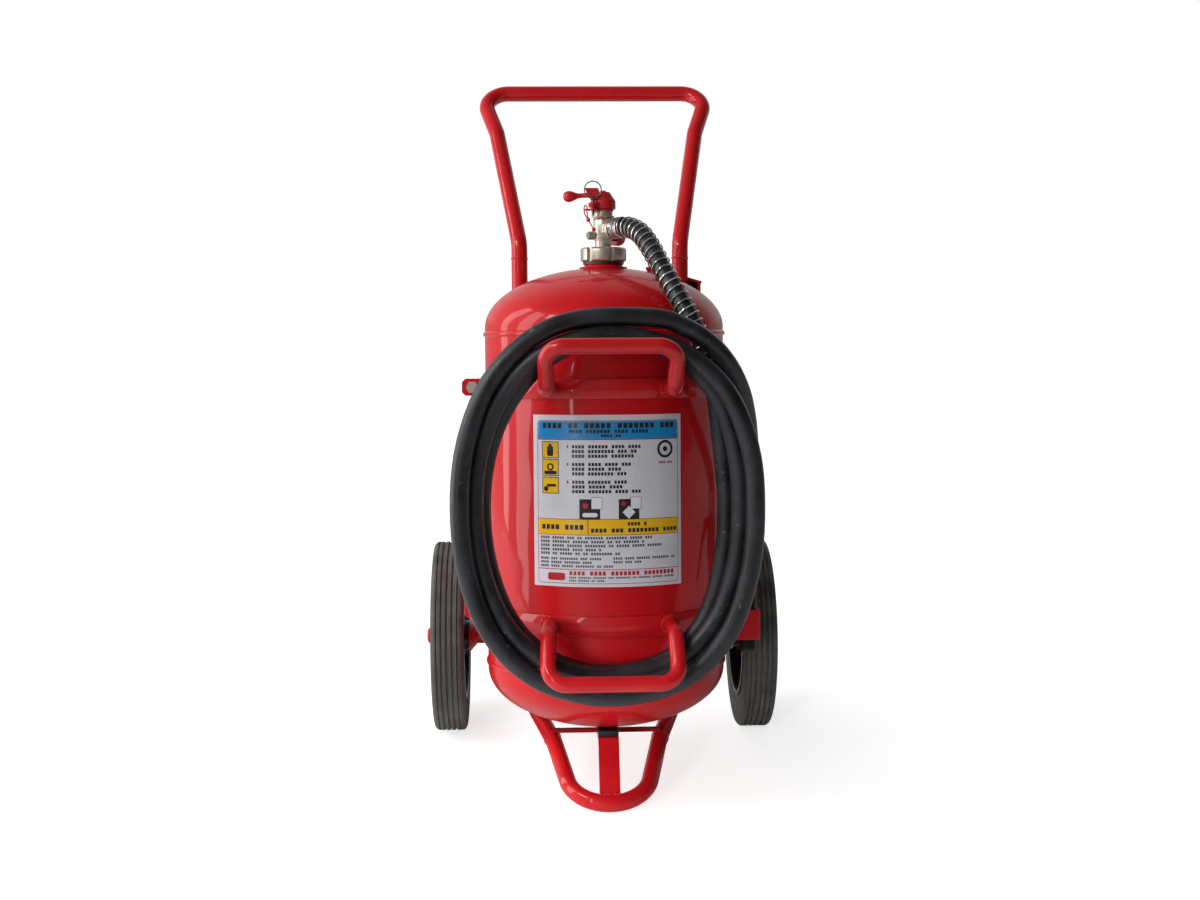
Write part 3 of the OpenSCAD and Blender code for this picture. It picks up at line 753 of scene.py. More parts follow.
NODE_FINISH: dict[str, Finish] = {
    node: finish
    for finish, nodes in (
        (TANK_RED, "tank_shell upper_head lower_head neck_collar"),
        (TUBE_RED, "dome_plug nozzle_clip upper_hanger lower_hanger push_handle rear_bracket"),
        (TUBE_RED, "upper_band_front upper_band_rear lower_band_front lower_band_rear"),
        (TUBE_RED, "frame_tube_left frame_tube_right foot_loop foot_strap"),
        (TUBE_RED, "axle_beam axle_gussets"),
        (PAINTED_SHADE_RED, "foot_crossbar"),
        (CAP_RED, "pin_plate gauge_case axle_caps lever_cap"),
        (NICKEL, "ring_nut valve_body valve_bonnet test_nipple outlet_nut nozzle_coupling"),
        (NICKEL, "valve_spindle valve_ball"),
        (ZINC, "trigger_pin band_bolts axle_stubs axle_washers lever_screw"),
        (DULL_STEEL, "safety_pin pull_ring"),
        (SPRING_STEEL, "guard_spring"),
        (HOSE_RUBBER, "hose"),
        (TYRE_RUBBER, "left_tyre right_tyre"),
        (SEAL_RUBBER, "neck_seal foot_pad"),
        (RIM_BLACK, "left_rim right_rim"),
        (BLACK_NYLON, "pistol_body foam_barrel pistol_trigger gauge_needle"),
        (NATURAL_NYLON, "dip_tube dip_strainer ball_seats left_bush right_bush"),
        (SEAL_ORANGE, "seal_tie"),
        (DIAL_WHITE, "gauge_dial"),
        (WINDOW, "gauge_window"),
    )
    for node in nodes.split()
}

# Rounding of the edges of rigid pieces, in millimetres; the rest are left as they are
NODE_EDGE: dict[str, float] = {
    node: width
    for width, nodes in (
        (0.3, "axle_washers"),
        (0.4, "pin_plate test_nipple"),
        (0.5, "valve_body outlet_nut foam_barrel band_bolts"),
        (0.6, "valve_bonnet rear_bracket"),
        (0.7, "gauge_case nozzle_coupling nozzle_clip"),
        (0.8, "upper_band_front upper_band_rear lower_band_front lower_band_rear"),
        (0.8, "ring_nut foot_strap foot_crossbar dome_plug"),
        (0.9, "lever_cap pistol_trigger"),
        (1.0, "axle_gussets left_rim right_rim"),
        (1.2, "pistol_body"),
        (1.5, "foot_pad"),
    )
    for node in nodes.split()
}


def piece_done(piece: Piece, body: str, finish: Finish | None) -> Piece:
    """Dresses a new piece and hangs it on a CAD body.

    Args:
        piece: the finished mesh, in place.
        body: the CAD body it moves with.
        finish: its finish, or None where its materials are already set.

    Returns:
        The piece.
    """
    if finish is not None:
        finish.dress(piece)
    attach(piece, body)
    LOG.info("%s rides on %s", piece.name, body)
    return piece


# ---------------------------------------------------------------- camera, light and floor


@dataclass(frozen=True)
class Studio:
    """The camera, the soft lights and the pale floor.

    Where the room dims is given as the X of a direction, from room_left to light_edge for
    its light and to mirror_edge for its mirror image. The backdrop starts and is full at
    two values of Y. Each room_ pair is the brightness at the left and at the right.
    """

    eye: Triple = (-0.09356, -2.53470, 1.02197)
    turn_deg: Triple = (77.3335, 0.0538, -2.0873)
    lens_mm: float = 49.738
    room_left: float = -0.9
    light_edge: float = 0.4
    room_light: Pair = (1.1, 0.06)
    mirror_edge: float = 0.35
    room_mirrored: Pair = (0.28, 0.03)
    backdrop: Pair = (0.3, 0.75)
    backdrop_mirrored: float = 0.6
    floor_glow: float = 0.7
    floor_grey: float = 0.86
    floor_wide: float = 30

    def camera(self) -> None:
        """Sets up the camera."""
        data = bpy.data.cameras.new("studio_camera")
        data.sensor_width = 36
        data.lens = self.lens_mm
        eye = bpy.data.objects.new("studio_camera", data)
        eye.location = self.eye
        eye.rotation_euler = [math.radians(a) for a in self.turn_deg]
        bpy.context.scene.collection.objects.link(eye)
        bpy.context.scene.camera = eye

    def lamp(
        self,
        name: str,
        at: Triple,
        size: Pair,
        watts: float,
        mirrored: bool = True,
        aim: Triple = (0, -0.15, 0.5),
        spread_deg: float = 180,
    ) -> None:
        """Hangs one rectangular soft lamp.

        Args:
            name: the lamp's name.
            at: its middle, in metres.
            size: its width and height, in metres.
            watts: its power.
            mirrored: whether it is seen in glossy surfaces.
            aim: the point it faces, by default the middle of the cylinder.
            spread_deg: how wide its light opens.
        """
        data = bpy.data.lights.new(name, "AREA")
        data.shape = "RECTANGLE"
        data.size, data.size_y = size
        data.energy = watts
        data.spread = math.radians(spread_deg)
        lamp = bpy.data.objects.new(name, data)
        lamp.location = at
        way = Vector(aim) - Vector(at)
        lamp.rotation_euler = way.to_track_quat("-Z", "Y").to_euler()
        lamp.visible_glossy = mirrored
        bpy.context.scene.collection.objects.link(lamp)

    def lights(self) -> None:
        """Two tall windows at the left, a narrow and a small high one, and a foot light."""
        self.lamp("left_window_front", (-2.0, -0.4, 1.1), (0.62, 2.2), 15.5)
        self.lamp("left_window_rear", (-2.0, 0.5, 1.1), (0.4, 2.2), 10)
        self.lamp("left_front_window", (-1.15, -2.0, 1.25), (0.12, 1.6), 3.2)
        self.lamp("high_window", (-1.25, -1.1, 1.8), (0.7, 0.4), 8)
        foot = (0, -0.3, 0.08)
        self.lamp("foot_fill", (-0.6, -1.5, 0.35), (0.5, 0.3), 0.33, False, foot, spread_deg=28)

    def surroundings(self) -> None:
        """A white backdrop, with a dimmer room on the camera's right and behind it."""
        world = bpy.data.worlds.new("studio")
        bpy.context.scene.world = world
        world.use_nodes = True
        tree = world.node_tree
        tree.nodes.clear()
        way = add_node(tree, "ShaderNodeTexCoord").outputs["Generated"]
        axes = add_node(tree, "ShaderNodeSeparateXYZ", {0: way}).outputs
        ray = add_node(tree, "ShaderNodeLightPath").outputs
        soft, mirrored, back = (
            add_node(
                tree,
                "ShaderNodeMapRange",
                {"Value": axes[axis], "From Min": a, "From Max": b, "To Min": low, "To Max": high},
            )
            for axis, a, b, low, high in (
                ("X", self.room_left, self.light_edge, *self.room_light),
                ("X", self.room_left, self.mirror_edge, *self.room_mirrored),
                ("Y", *self.backdrop, 0, 1),
            )
        )
        room, backdrop = (
            add_node(tree, "ShaderNodeMix", {0: ray["Is Glossy Ray"], 2: soft, 3: seen})
            for seen in (mirrored, self.backdrop_mirrored)
        )
        around = add_node(tree, "ShaderNodeMix", {0: back, 2: room, 3: backdrop})
        direct = {0: ray["Is Camera Ray"], 1: ray["Is Transmission Ray"]}
        seen = add_node(tree, "ShaderNodeMath", direct, operation="MAXIMUM")
        strength = add_node(tree, "ShaderNodeMix", {0: seen, 2: around, 3: 1.0})
        glow = add_node(tree, "ShaderNodeBackground", {"Color": WHITE, "Strength": strength})
        add_node(tree, "ShaderNodeOutputWorld", {0: glow})

    def floor(self) -> None:
        """A wide pale floor that keeps the soft shadow."""
        deselect()
        bpy.ops.mesh.primitive_plane_add(size=self.floor_wide, location=(0, 0, 0))
        floor = fresh("studio_floor")
        material = bare_material("matt_white_floor")
        tree = material.node_tree
        grey = (self.floor_grey, self.floor_grey, self.floor_grey, 1)
        matt = add_node(tree, "ShaderNodeBsdfDiffuse", {"Color": grey})
        lit = {"Color": WHITE, "Strength": self.floor_glow}
        both = {0: matt, 1: add_node(tree, "ShaderNodeEmission", lit)}
        ray = add_node(tree, "ShaderNodeLightPath").outputs["Is Camera Ray"]
        shown = {0: ray, 1: matt, 2: add_node(tree, "ShaderNodeAddShader", both)}
        seen = add_node(tree, "ShaderNodeMixShader", shown)
        add_node(tree, "ShaderNodeOutputMaterial", {0: seen})
        floor.data.materials.append(material)

    def build(self) -> None:
        """Sets up the whole studio."""
        bpy.context.scene.view_settings.view_transform = "Standard"
        self.camera()
        self.lights()
        self.surroundings()
        self.floor()


# ---------------------------------------------------------------- hose and guard spring


@dataclass(frozen=True)
class CoiledHose:
    """The delivery hose: from the outlet, over the hangers and to the pistol.

    It makes about two and three quarter turns. Each tuple from right to front_up has one
    number for each turn, in millimetres, and up and front_up also have the last top.
    """

    diameter: float = 0.026
    centre: Pair = (-4, 248)
    right: tuple[float, ...] = (165, 181, 198)
    down: tuple[float, ...] = (234, 234, 261)
    left: tuple[float, ...] = (172, 181, 200)
    up: tuple[float, ...] = (226, 226, 228, 253.5)
    front_right: tuple[float, ...] = (172, 203, 234)
    front_down: tuple[float, ...] = (195, 222, 222)
    front_left: tuple[float, ...] = (187, 213, 237)
    front_up: tuple[float, ...] = (172, 196, 223, 215)
    bulge: tuple[tuple[float, ...], ...] = (
        (0.05, 0.07, 0.04, -0.01),
        (0.05, 0.06, 0.04, 0.02),
        (0.05, 0.06, 0.04, 0.03),
    )
    coil_degrees: tuple[int, int, int] = (70, 1071, 20)
    hose_steps: int = 5
    guard_wire: float = 0.0012
    guard_gap: float = 0.0004
    guard_close: int = 6
    guard_open: int = 25
    guard_sides: int = 22
    guard_start: float = 0.12
    guard_close_reach: float = 0.55
    guard_open_per_step: float = 3.05
    guard_steps: int = 10
    fine: int = 20
    from_valve: tuple[Triple, ...] = (
        (14.7, -16.3, 634), (34, -37.6, 634), (50, -65, 624), (63, -94, 602),
        (76, -120, 574), (90, -141, 545), (104, -157, 517), (118, -167, 489),
        (130, -171, 459), (140, -172, 427), (147, -172, 393),
    )
    to_pistol: tuple[Triple, ...] = (
        (59, -216, 500), (99, -213, 488), (134, -205, 467), (162, -190, 437),
        (182, -166, 402), (194, -134, 366), (201, -105.7, 334), (204.5, -83.5, 310),
        (205, -68.2, 288.2), (205, -58.9, 265), (205, -55.1, 246), (205, -55, 240.5),
        (205, -55, 236),
    )

    def coil_point(self, turned: float) -> Triple:
        """A point of the coil in the upright frame, in millimetres.

        Args:
            turned: degrees wound, clockwise from the top as seen from the front.

        Returns:
            The point.
        """
        k = min(int(turned // 360), 2)
        q = turned - 360 * k
        j = min(int(q // 90), 3)
        s, c = math.sin(math.radians(q)), math.cos(math.radians(q))
        side = self.right[k] if q <= 180 else self.left[k]
        rise = self.up[k] if q < 90 else (self.down[k] if q <= 270 else self.up[k + 1])
        sides = (self.front_up, self.front_right, self.front_down, self.front_left)
        fronts = (*(depth[k] for depth in sides), self.front_up[k + 1])
        f = (1 - math.cos(math.pi * (q / 90 - j))) / 2
        w = 1 + self.bulge[k][j] * (2 * s * c) ** 2
        front = fronts[j] + (fronts[j + 1] - fronts[j]) * f
        return (self.centre[0] + side * s * w, -front, self.centre[1] + rise * c * w)

    def route(self) -> list[Vector]:
        """The whole route, upright, in metres."""
        coil = [self.coil_point(turned) for turned in range(*self.coil_degrees)]
        return [Vector(p) / 1000 for p in (*self.from_valve, *coil, *self.to_pistol)]

    def hose(self) -> None:
        line = [STANCE.matrix @ p for p in through_points(self.route(), self.hose_steps)]
        hose = tube("delivery_hose", line, self.diameter / 2, sides=24)
        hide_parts("hose")
        piece_done(hose, "frame", HOSE_RUBBER)

    def guard_spring(self) -> None:
        """Winds the guard wire round the first stretch: close turns, then open ones."""
        coil = self.diameter / 2 + self.guard_gap + self.guard_wire
        close, reach = self.guard_close, self.guard_close_reach
        line = through_points(self.route(), self.fine)[: self.fine * self.guard_steps]
        spots = []
        for n in range((close + self.guard_open) * self.guard_sides + 1):
            t = n / self.guard_sides
            beyond = (t - close) / self.guard_open_per_step
            step = reach * t / close if t < close else reach + beyond
            at = (self.guard_start + step) * self.fine
            i = min(int(at), len(line) - 2)
            spots.append(line[i].lerp(line[i + 1], at - i))
        points = []
        side = Vector((0, 0, 1))
        for n, spot in enumerate(spots):
            way = (spots[min(n + 1, len(spots) - 1)] - spots[max(n - 1, 0)]).normalized()
            side = (side - way * side.dot(way)).normalized()
            angle = 2 * math.pi * n / self.guard_sides
            arm = side * math.cos(angle) + way.cross(side) * math.sin(angle)
            points.append(STANCE.matrix @ (spot + coil * arm))
        spring = tube("hose_guard_spring", points, self.guard_wire, sides=8)
        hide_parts("guard_spring")
        piece_done(spring, "frame", SPRING_STEEL)

    def build(self) -> None:
        """Makes the hose and its guard."""
        self.hose()
        self.guard_spring()


# ---------------------------------------------------------------- cylinder


@dataclass(frozen=True)
class PressedTank:
    """The cylinder: a rolled shell between two pressed heads, each with its rolled seam."""

    radius: float = 175
    wall: float = 3
    seam_half: float = 4
    bead: float = 2.5
    skirt: float = 9
    depth: float = 87.5
    neck_hole: float = 25
    top_seam: float = 481
    rows: int = 56
    steps: int = 192
    edge_deg: float = 32
    seam_curve: tuple[Pair, ...] = (
        (-2.6, 0.7), (-1.8, 0.94), (-1, 1), (1, 1), (1.8, 0.94), (2.6, 0.7),
    )

    def arc(self, radius: float, depth: float, crown: float) -> list[Pair]:
        """A head's elliptical arc, as height over its seam and radius."""
        stop = math.acos(crown / radius)
        turns = [stop * i / self.rows for i in range(self.rows + 1)]
        return [(self.skirt + depth * math.sin(a), radius * math.cos(a)) for a in turns]

    def head_section(self, crown: float) -> list[Pair]:
        """The closed section of a head, from its inner edge round its seam to its crown.

        Args:
            crown: radius of the hole at the crown, or 0.

        Returns:
            Height over the seam and radius, in millimetres.
        """
        inner_r, half = self.radius - self.wall, self.seam_half
        rolled = [(rise, self.radius + share * self.bead) for rise, share in self.seam_curve]
        seam = [(-half, inner_r), (-half, self.radius), *rolled, (half, self.radius)]
        outer = self.arc(self.radius, self.depth, crown)
        inner = self.arc(inner_r, self.depth - self.wall, crown)
        return seam + outer + inner[::-1]

    def turned(self, name: str, node: str, section: list[Pair], seam: float, up: float) -> None:
        """Turns one part of the cylinder and stands it in place of its CAD piece.

        Args:
            name: the piece's name.
            node: the CAD piece that it stands for.
            section: its section, as height and radius in millimetres.
            seam: the height that the section is measured from.
            up: 1 where the section runs upwards, -1 where it runs down.
        """
        profile = [(seam + up * rise, radius) for rise, radius in section]
        piece = lathe(name, profile, self.steps, STANCE.matrix @ X_TO_Z, self.edge_deg)
        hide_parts(node)
        piece_done(piece, "frame", TANK_RED)

    def build(self) -> None:
        """Makes the shell and both heads."""
        top, half = self.top_seam, self.seam_half
        inner_r = self.radius - self.wall
        ends = (half, top - half)
        shell = [(ends[0], inner_r), (ends[0], self.radius), (ends[1], self.radius)]
        self.turned("rolled_shell", "tank_shell", [*shell, (ends[1], inner_r)], 0, 1)
        self.turned("pressed_upper_head", "upper_head", self.head_section(self.neck_hole), top, 1)
        self.turned("pressed_lower_head", "lower_head", self.head_section(0), 0, -1)


# ---------------------------------------------------------------- printed panel on the cylinder


class Ink(Enum):
    """The colours of the printed panel, each with its layer over the cylinder."""

    BASE = ("white_vinyl_panel", "#d3d2d9", 0)
    RULE = ("red_ink_border", "#b3222c", 1)
    GROUND = ("white_vinyl_ground", "#d3d2d9", 2)
    EDGE = ("red_ink_edges", "#b8242e", 3)
    OUTLINE = ("dark_ink_outlines", "#28262c", 3)
    HEADER = ("blue_ink_header", "#1b8ccb", 4)
    YELLOW = ("yellow_ink_fields", "#edb80c", 4)
    RED = ("red_ink_marks", "#b8242e", 5)
    DARK = ("dark_ink_marks", "#28262c", 5)
    GREY = ("grey_ink_rows", "#4c4b55", 5)
    WHITE = ("white_ink_shapes", "#dddce2", 6)

    @property
    def height(self) -> float:
        """Height of the layer over the vinyl's underside, in millimetres."""
        return INK_LAYER_MM * self.value[2]


@dataclass(frozen=True)
class PrintedVinyl(Finish):
    """Screen-printed vinyl: satin film with a faint lengthwise ripple from its laying."""

    colour: str = "#d3d2d9"
    soil: str = "#6e6a6c"
    soil_per_m: float = 28
    soil_gloss: Pair = (0.14, 0.36)
    waves_per_m: float = 26
    wave: float = 0.16

    def surface(self, tree: Tree, at: Socket) -> Inputs:
        """Even ink, dust in its gloss and a shallow ripple.

        Args:
            tree: the material's node tree.
            at: the place on the piece, in metres.

        Returns:
            The shader's inputs.
        """
        soil, wave = (
            add_node(tree, "ShaderNodeTexNoise", {"Vector": at, "Scale": scale, "Detail": detail})
            for scale, detail in ((self.soil_per_m, 6), (self.waves_per_m, 1))
        )
        dirt = {"Value": soil, "From Min": 0.5, "From Max": 0.8, "To Max": 0.16}
        worn = add_node(tree, "ShaderNodeMapRange", dirt)
        tints = {0: worn, 6: linear(self.colour), 7: linear(self.soil)}
        blur = {"Value": soil, "To Min": self.soil_gloss[0], "To Max": self.soil_gloss[1]}
        ripple = {"Strength": self.wave, "Distance": 0.004, "Height": wave}
        return {
            "Base Color": add_node(tree, "ShaderNodeMix", tints, data_type="RGBA"),
            "Roughness": add_node(tree, "ShaderNodeMapRange", blur),
            "Normal": add_node(tree, "ShaderNodeBump", ripple),
            "IOR": 1.52,
        }


@dataclass
class PrintedPanel:
    """A blank-form instruction panel: fields, rules and rows of dashes, with no words.

    Places are in millimetres: u round the cylinder from its front, v up from the lower seam.
    """

    radius: float = 175.3
    left: float = -111.9
    right: float = 107.0
    low: float = 130
    high: float = 368
    inside: Pair = (-104.2, 101)
    facet: int = 4
    cell_share: float = 0.82
    cell_margin: float = 0.13
    first_word: int = 4
    least_word: int = 3
    word_spread: int = 7
    drawn: dict[Ink, list[Piece]] = field(default_factory=dict)
    seed: int = 3

    def keep(self, ink: Ink, piece: Piece) -> None:
        """Lifts a flat piece to its ink's layer and keeps it for joining."""
        settle(piece, Matrix.Translation((0, 0, ink.height)))
        self.drawn.setdefault(ink, []).append(piece)

    def box(self, u: Pair, v: Pair) -> Matrix:
        """Takes a unit square to a rectangle of the flat panel."""
        middle = Matrix.Translation(((u[0] + u[1]) / 2, (v[0] + v[1]) / 2, 0))
        return middle @ Matrix.Diagonal((u[1] - u[0], v[1] - v[0], 1, 1))

    def field_of(self, ink: Ink, u: Pair, v: Pair) -> None:
        """Draws a filled rectangle, cut fine enough to bend round the cylinder."""
        deselect()
        bpy.ops.mesh.primitive_grid_add(
            x_subdivisions=max(1, math.ceil((u[1] - u[0]) / self.facet)), y_subdivisions=1, size=1
        )
        self.keep(ink, settle(fresh(ink.value[0]), self.box(u, v)))

    def rounded(self, ink: Ink, u: Pair, v: Pair, corner: float) -> None:
        """Draws a filled rectangle with round corners."""
        deselect()
        bpy.ops.mesh.primitive_plane_add(size=1)
        piece = settle(fresh(ink.value[0]), self.box(u, v))
        first, last = math.ceil(u[0] / self.facet) + 1, math.floor(u[1] / self.facet)
        with whole_mesh():
            bpy.ops.mesh.bevel(offset=corner, segments=6, affect="VERTICES")
            for cut in range(first, last):
                bpy.ops.mesh.select_all(action="SELECT")
                bpy.ops.mesh.bisect(plane_co=(cut * self.facet, 0, 0), plane_no=(1, 0, 0))
        self.keep(ink, piece)

    def dashes(self, ink: Ink, u: Pair, low: float, tall: float) -> None:
        """Draws one row of dashes in word-long groups.

        Args:
            ink: its colour.
            u: where the row starts and ends.
            low: the row's lower edge.
            tall: its height.
        """
        cell = tall * self.cell_share
        count = max(2, round((u[1] - u[0]) / cell))
        deselect()
        bpy.ops.mesh.primitive_grid_add(x_subdivisions=count, y_subdivisions=1, size=1)
        piece = settle(fresh(ink.value[0]), Matrix.Diagonal((u[1] - u[0], tall, 1, 1)))
        gap_after = self.first_word
        gaps: set[int] = set()
        for i, face in enumerate(sorted(piece.data.polygons, key=lambda f: f.center.x)):
            self.seed = (self.seed * DRAW_FACTOR + DRAW_STEP) % DRAW_RANGE
            if i == gap_after:
                gaps.add(face.index)
                gap_after = i + self.least_word + self.seed // DRAW_COARSE % self.word_spread
        drop_faces(piece, gaps)
        count = len(piece.data.polygons)
        with whole_mesh():
            margin = cell * self.cell_margin
            bpy.ops.mesh.inset(thickness=margin, depth=0, use_individual=True)
        drop_faces(piece, set(range(count, len(piece.data.polygons))))
        place = Matrix.Translation(((u[0] + u[1]) / 2, low + tall / 2, 0))
        self.keep(ink, settle(piece, place))

    def disc(self, ink: Ink, at: Pair, radius: float, hole: float = 0, sides: int = 32) -> None:
        """Draws a disc, a ring or a regular shape."""
        self.keep(ink, flat_ring(ink.value[0], radius, hole, sides, at))

    def header(self) -> None:
        """The blue head of the panel, with three rows."""
        self.field_of(Ink.EDGE, self.inside, (333.4, 340))
        self.rounded(Ink.HEADER, (-103.6, 100.4), (334.8, 359.2), 4)
        self.field_of(Ink.HEADER, (-103.6, 100.4), (334.8, 346))
        self.dashes(Ink.DARK, (-97, 95), 348.6, 9.2)
        self.dashes(Ink.DARK, (-57, 55), 342.3, 6.0)
        self.dashes(Ink.DARK, (-12, 16), 336.6, 5.2)

    def steps(self) -> None:
        """Three yellow squares with plain shapes, each beside three rows, and a plain ring."""
        for v, reaches in ((308.5, (44, 38, 34)), (284.1, (30, 16, 28)), (259.6, (24, 18, 44))):
            self.field_of(Ink.OUTLINE, (-97.3, -71.6), (v - 0.6, v + 22.6))
            self.field_of(Ink.YELLOW, (-96.2, -72.7), (v + 0.5, v + 21.5))
            self.field_of(Ink.RED, (-60, -57.6), (v + 13.8, v + 17.8))
            for i, reach in enumerate(reaches):
                self.dashes(Ink.DARK, (-53, reach), v + 12.9 - i * 6.5, 5.6)
        self.disc(Ink.DARK, (80.5, 319.8), 12.4, 8.8)
        self.disc(Ink.DARK, (80.5, 319.8), 3.6)
        self.dashes(Ink.RED, (70, 92), 299.6, 3.4)

    def step_shapes(self) -> None:
        """Plain dark shapes in the three squares."""
        self.rounded(Ink.DARK, (-89.5, -80), (311, 325), 2.5)
        self.field_of(Ink.DARK, (-87, -82.5), (324, 328))
        self.rounded(Ink.DARK, (-94, -75), (285.6, 290.6), 1.8)
        self.disc(Ink.DARK, (-84.5, 296), 5.2, 2.9)
        self.rounded(Ink.DARK, (-90, -76), (268.6, 272.2), 1.6)
        self.disc(Ink.DARK, (-91.4, 265.6), 3.6)

    def squares(self) -> None:
        """Two dark squares, each with a small white tab and a plain white shape."""
        for u in (-42.4, 12.2):
            self.field_of(Ink.OUTLINE, (u, u + 29), (223.6, 251.8))
            self.field_of(Ink.OUTLINE, (u + 16.4, u + 32), (237.8, 254.6))
            self.field_of(Ink.WHITE, (u + 17, u + 31.4), (238.4, 254))
        self.rounded(Ink.WHITE, (-38, -17), (227, 232.8), 2.6)
        self.disc(Ink.WHITE, (26.5, 233.4), 9.0, sides=4)
        self.disc(Ink.RED, (-34, 242.5), 4.6, sides=5)
        self.disc(Ink.RED, (19, 245.4), 3.8, sides=5)

    def band(self) -> None:
        """The yellow band across the middle, in two fields, with its rows."""
        self.field_of(Ink.EDGE, self.inside, (201.7, 224.3))
        self.field_of(Ink.YELLOW, (-104.2, -31.2), (202.6, 223.4))
        self.field_of(Ink.YELLOW, (-29.8, 101), (202.6, 223.4))
        self.dashes(Ink.DARK, (-99, -36), 208.6, 8.6)
        self.dashes(Ink.DARK, (24, 52), 214.2, 6.2)
        self.dashes(Ink.DARK, (-27, 99), 205.0, 7.0)

    def rows(self) -> None:
        """The small rows below the band, and the foot of the panel."""
        for i, reach in enumerate((60, 48, 78, -12, 14)):
            self.dashes(Ink.GREY, (-101, reach), 195.8 - i * 5.5, 4.5)
        for i, reach in enumerate((-12, -22, 4)):
            self.dashes(Ink.GREY, (-101, reach), 167.0 - i * 5.2, 4.0)
        self.dashes(Ink.GREY, (4, 99), 167.6, 4.0)
        self.dashes(Ink.GREY, (4, 44), 162.4, 4.0)
        self.field_of(Ink.EDGE, self.inside, (153.6, 154.7))
        self.rounded(Ink.RED, (-89.5, -63.5), (138.6, 149.2), 3)
        self.dashes(Ink.RED, (-58, 94), 145.4, 7.2)
        self.dashes(Ink.GREY, (-58, 94), 141.2, 3.2)
        self.dashes(Ink.GREY, (-58, -8), 137.0, 3.2)

    def wrap(self, piece: Piece) -> None:
        """Bends a flat piece round the cylinder and stands it in the row frame."""
        for point in piece.data.vertices:
            turn = point.co.x / self.radius
            reach = self.radius + point.co.z
            point.co = STANCE.point(reach * math.sin(turn), -reach * math.cos(turn), point.co.y)

    def build(self) -> None:
        """Draws the panel flat, then lays it on the cylinder."""
        self.field_of(Ink.BASE, (self.left, self.right), (self.low, self.high))
        self.rounded(Ink.RULE, (-105.1, 101.9), (134.2, 360.4), 5)
        self.rounded(Ink.GROUND, self.inside, (135.1, 359.5), 4.4)
        self.header()
        self.steps()
        self.step_shapes()
        self.squares()
        self.band()
        self.rows()
        for ink, pieces in self.drawn.items():
            piece = join(f"printed_panel_{ink.name.lower()}", pieces)
            self.wrap(piece)
            piece_done(piece, "frame", PrintedVinyl(ink.value[0], "white_plastic", ink.value[1]))


# ---------------------------------------------------------------- welds


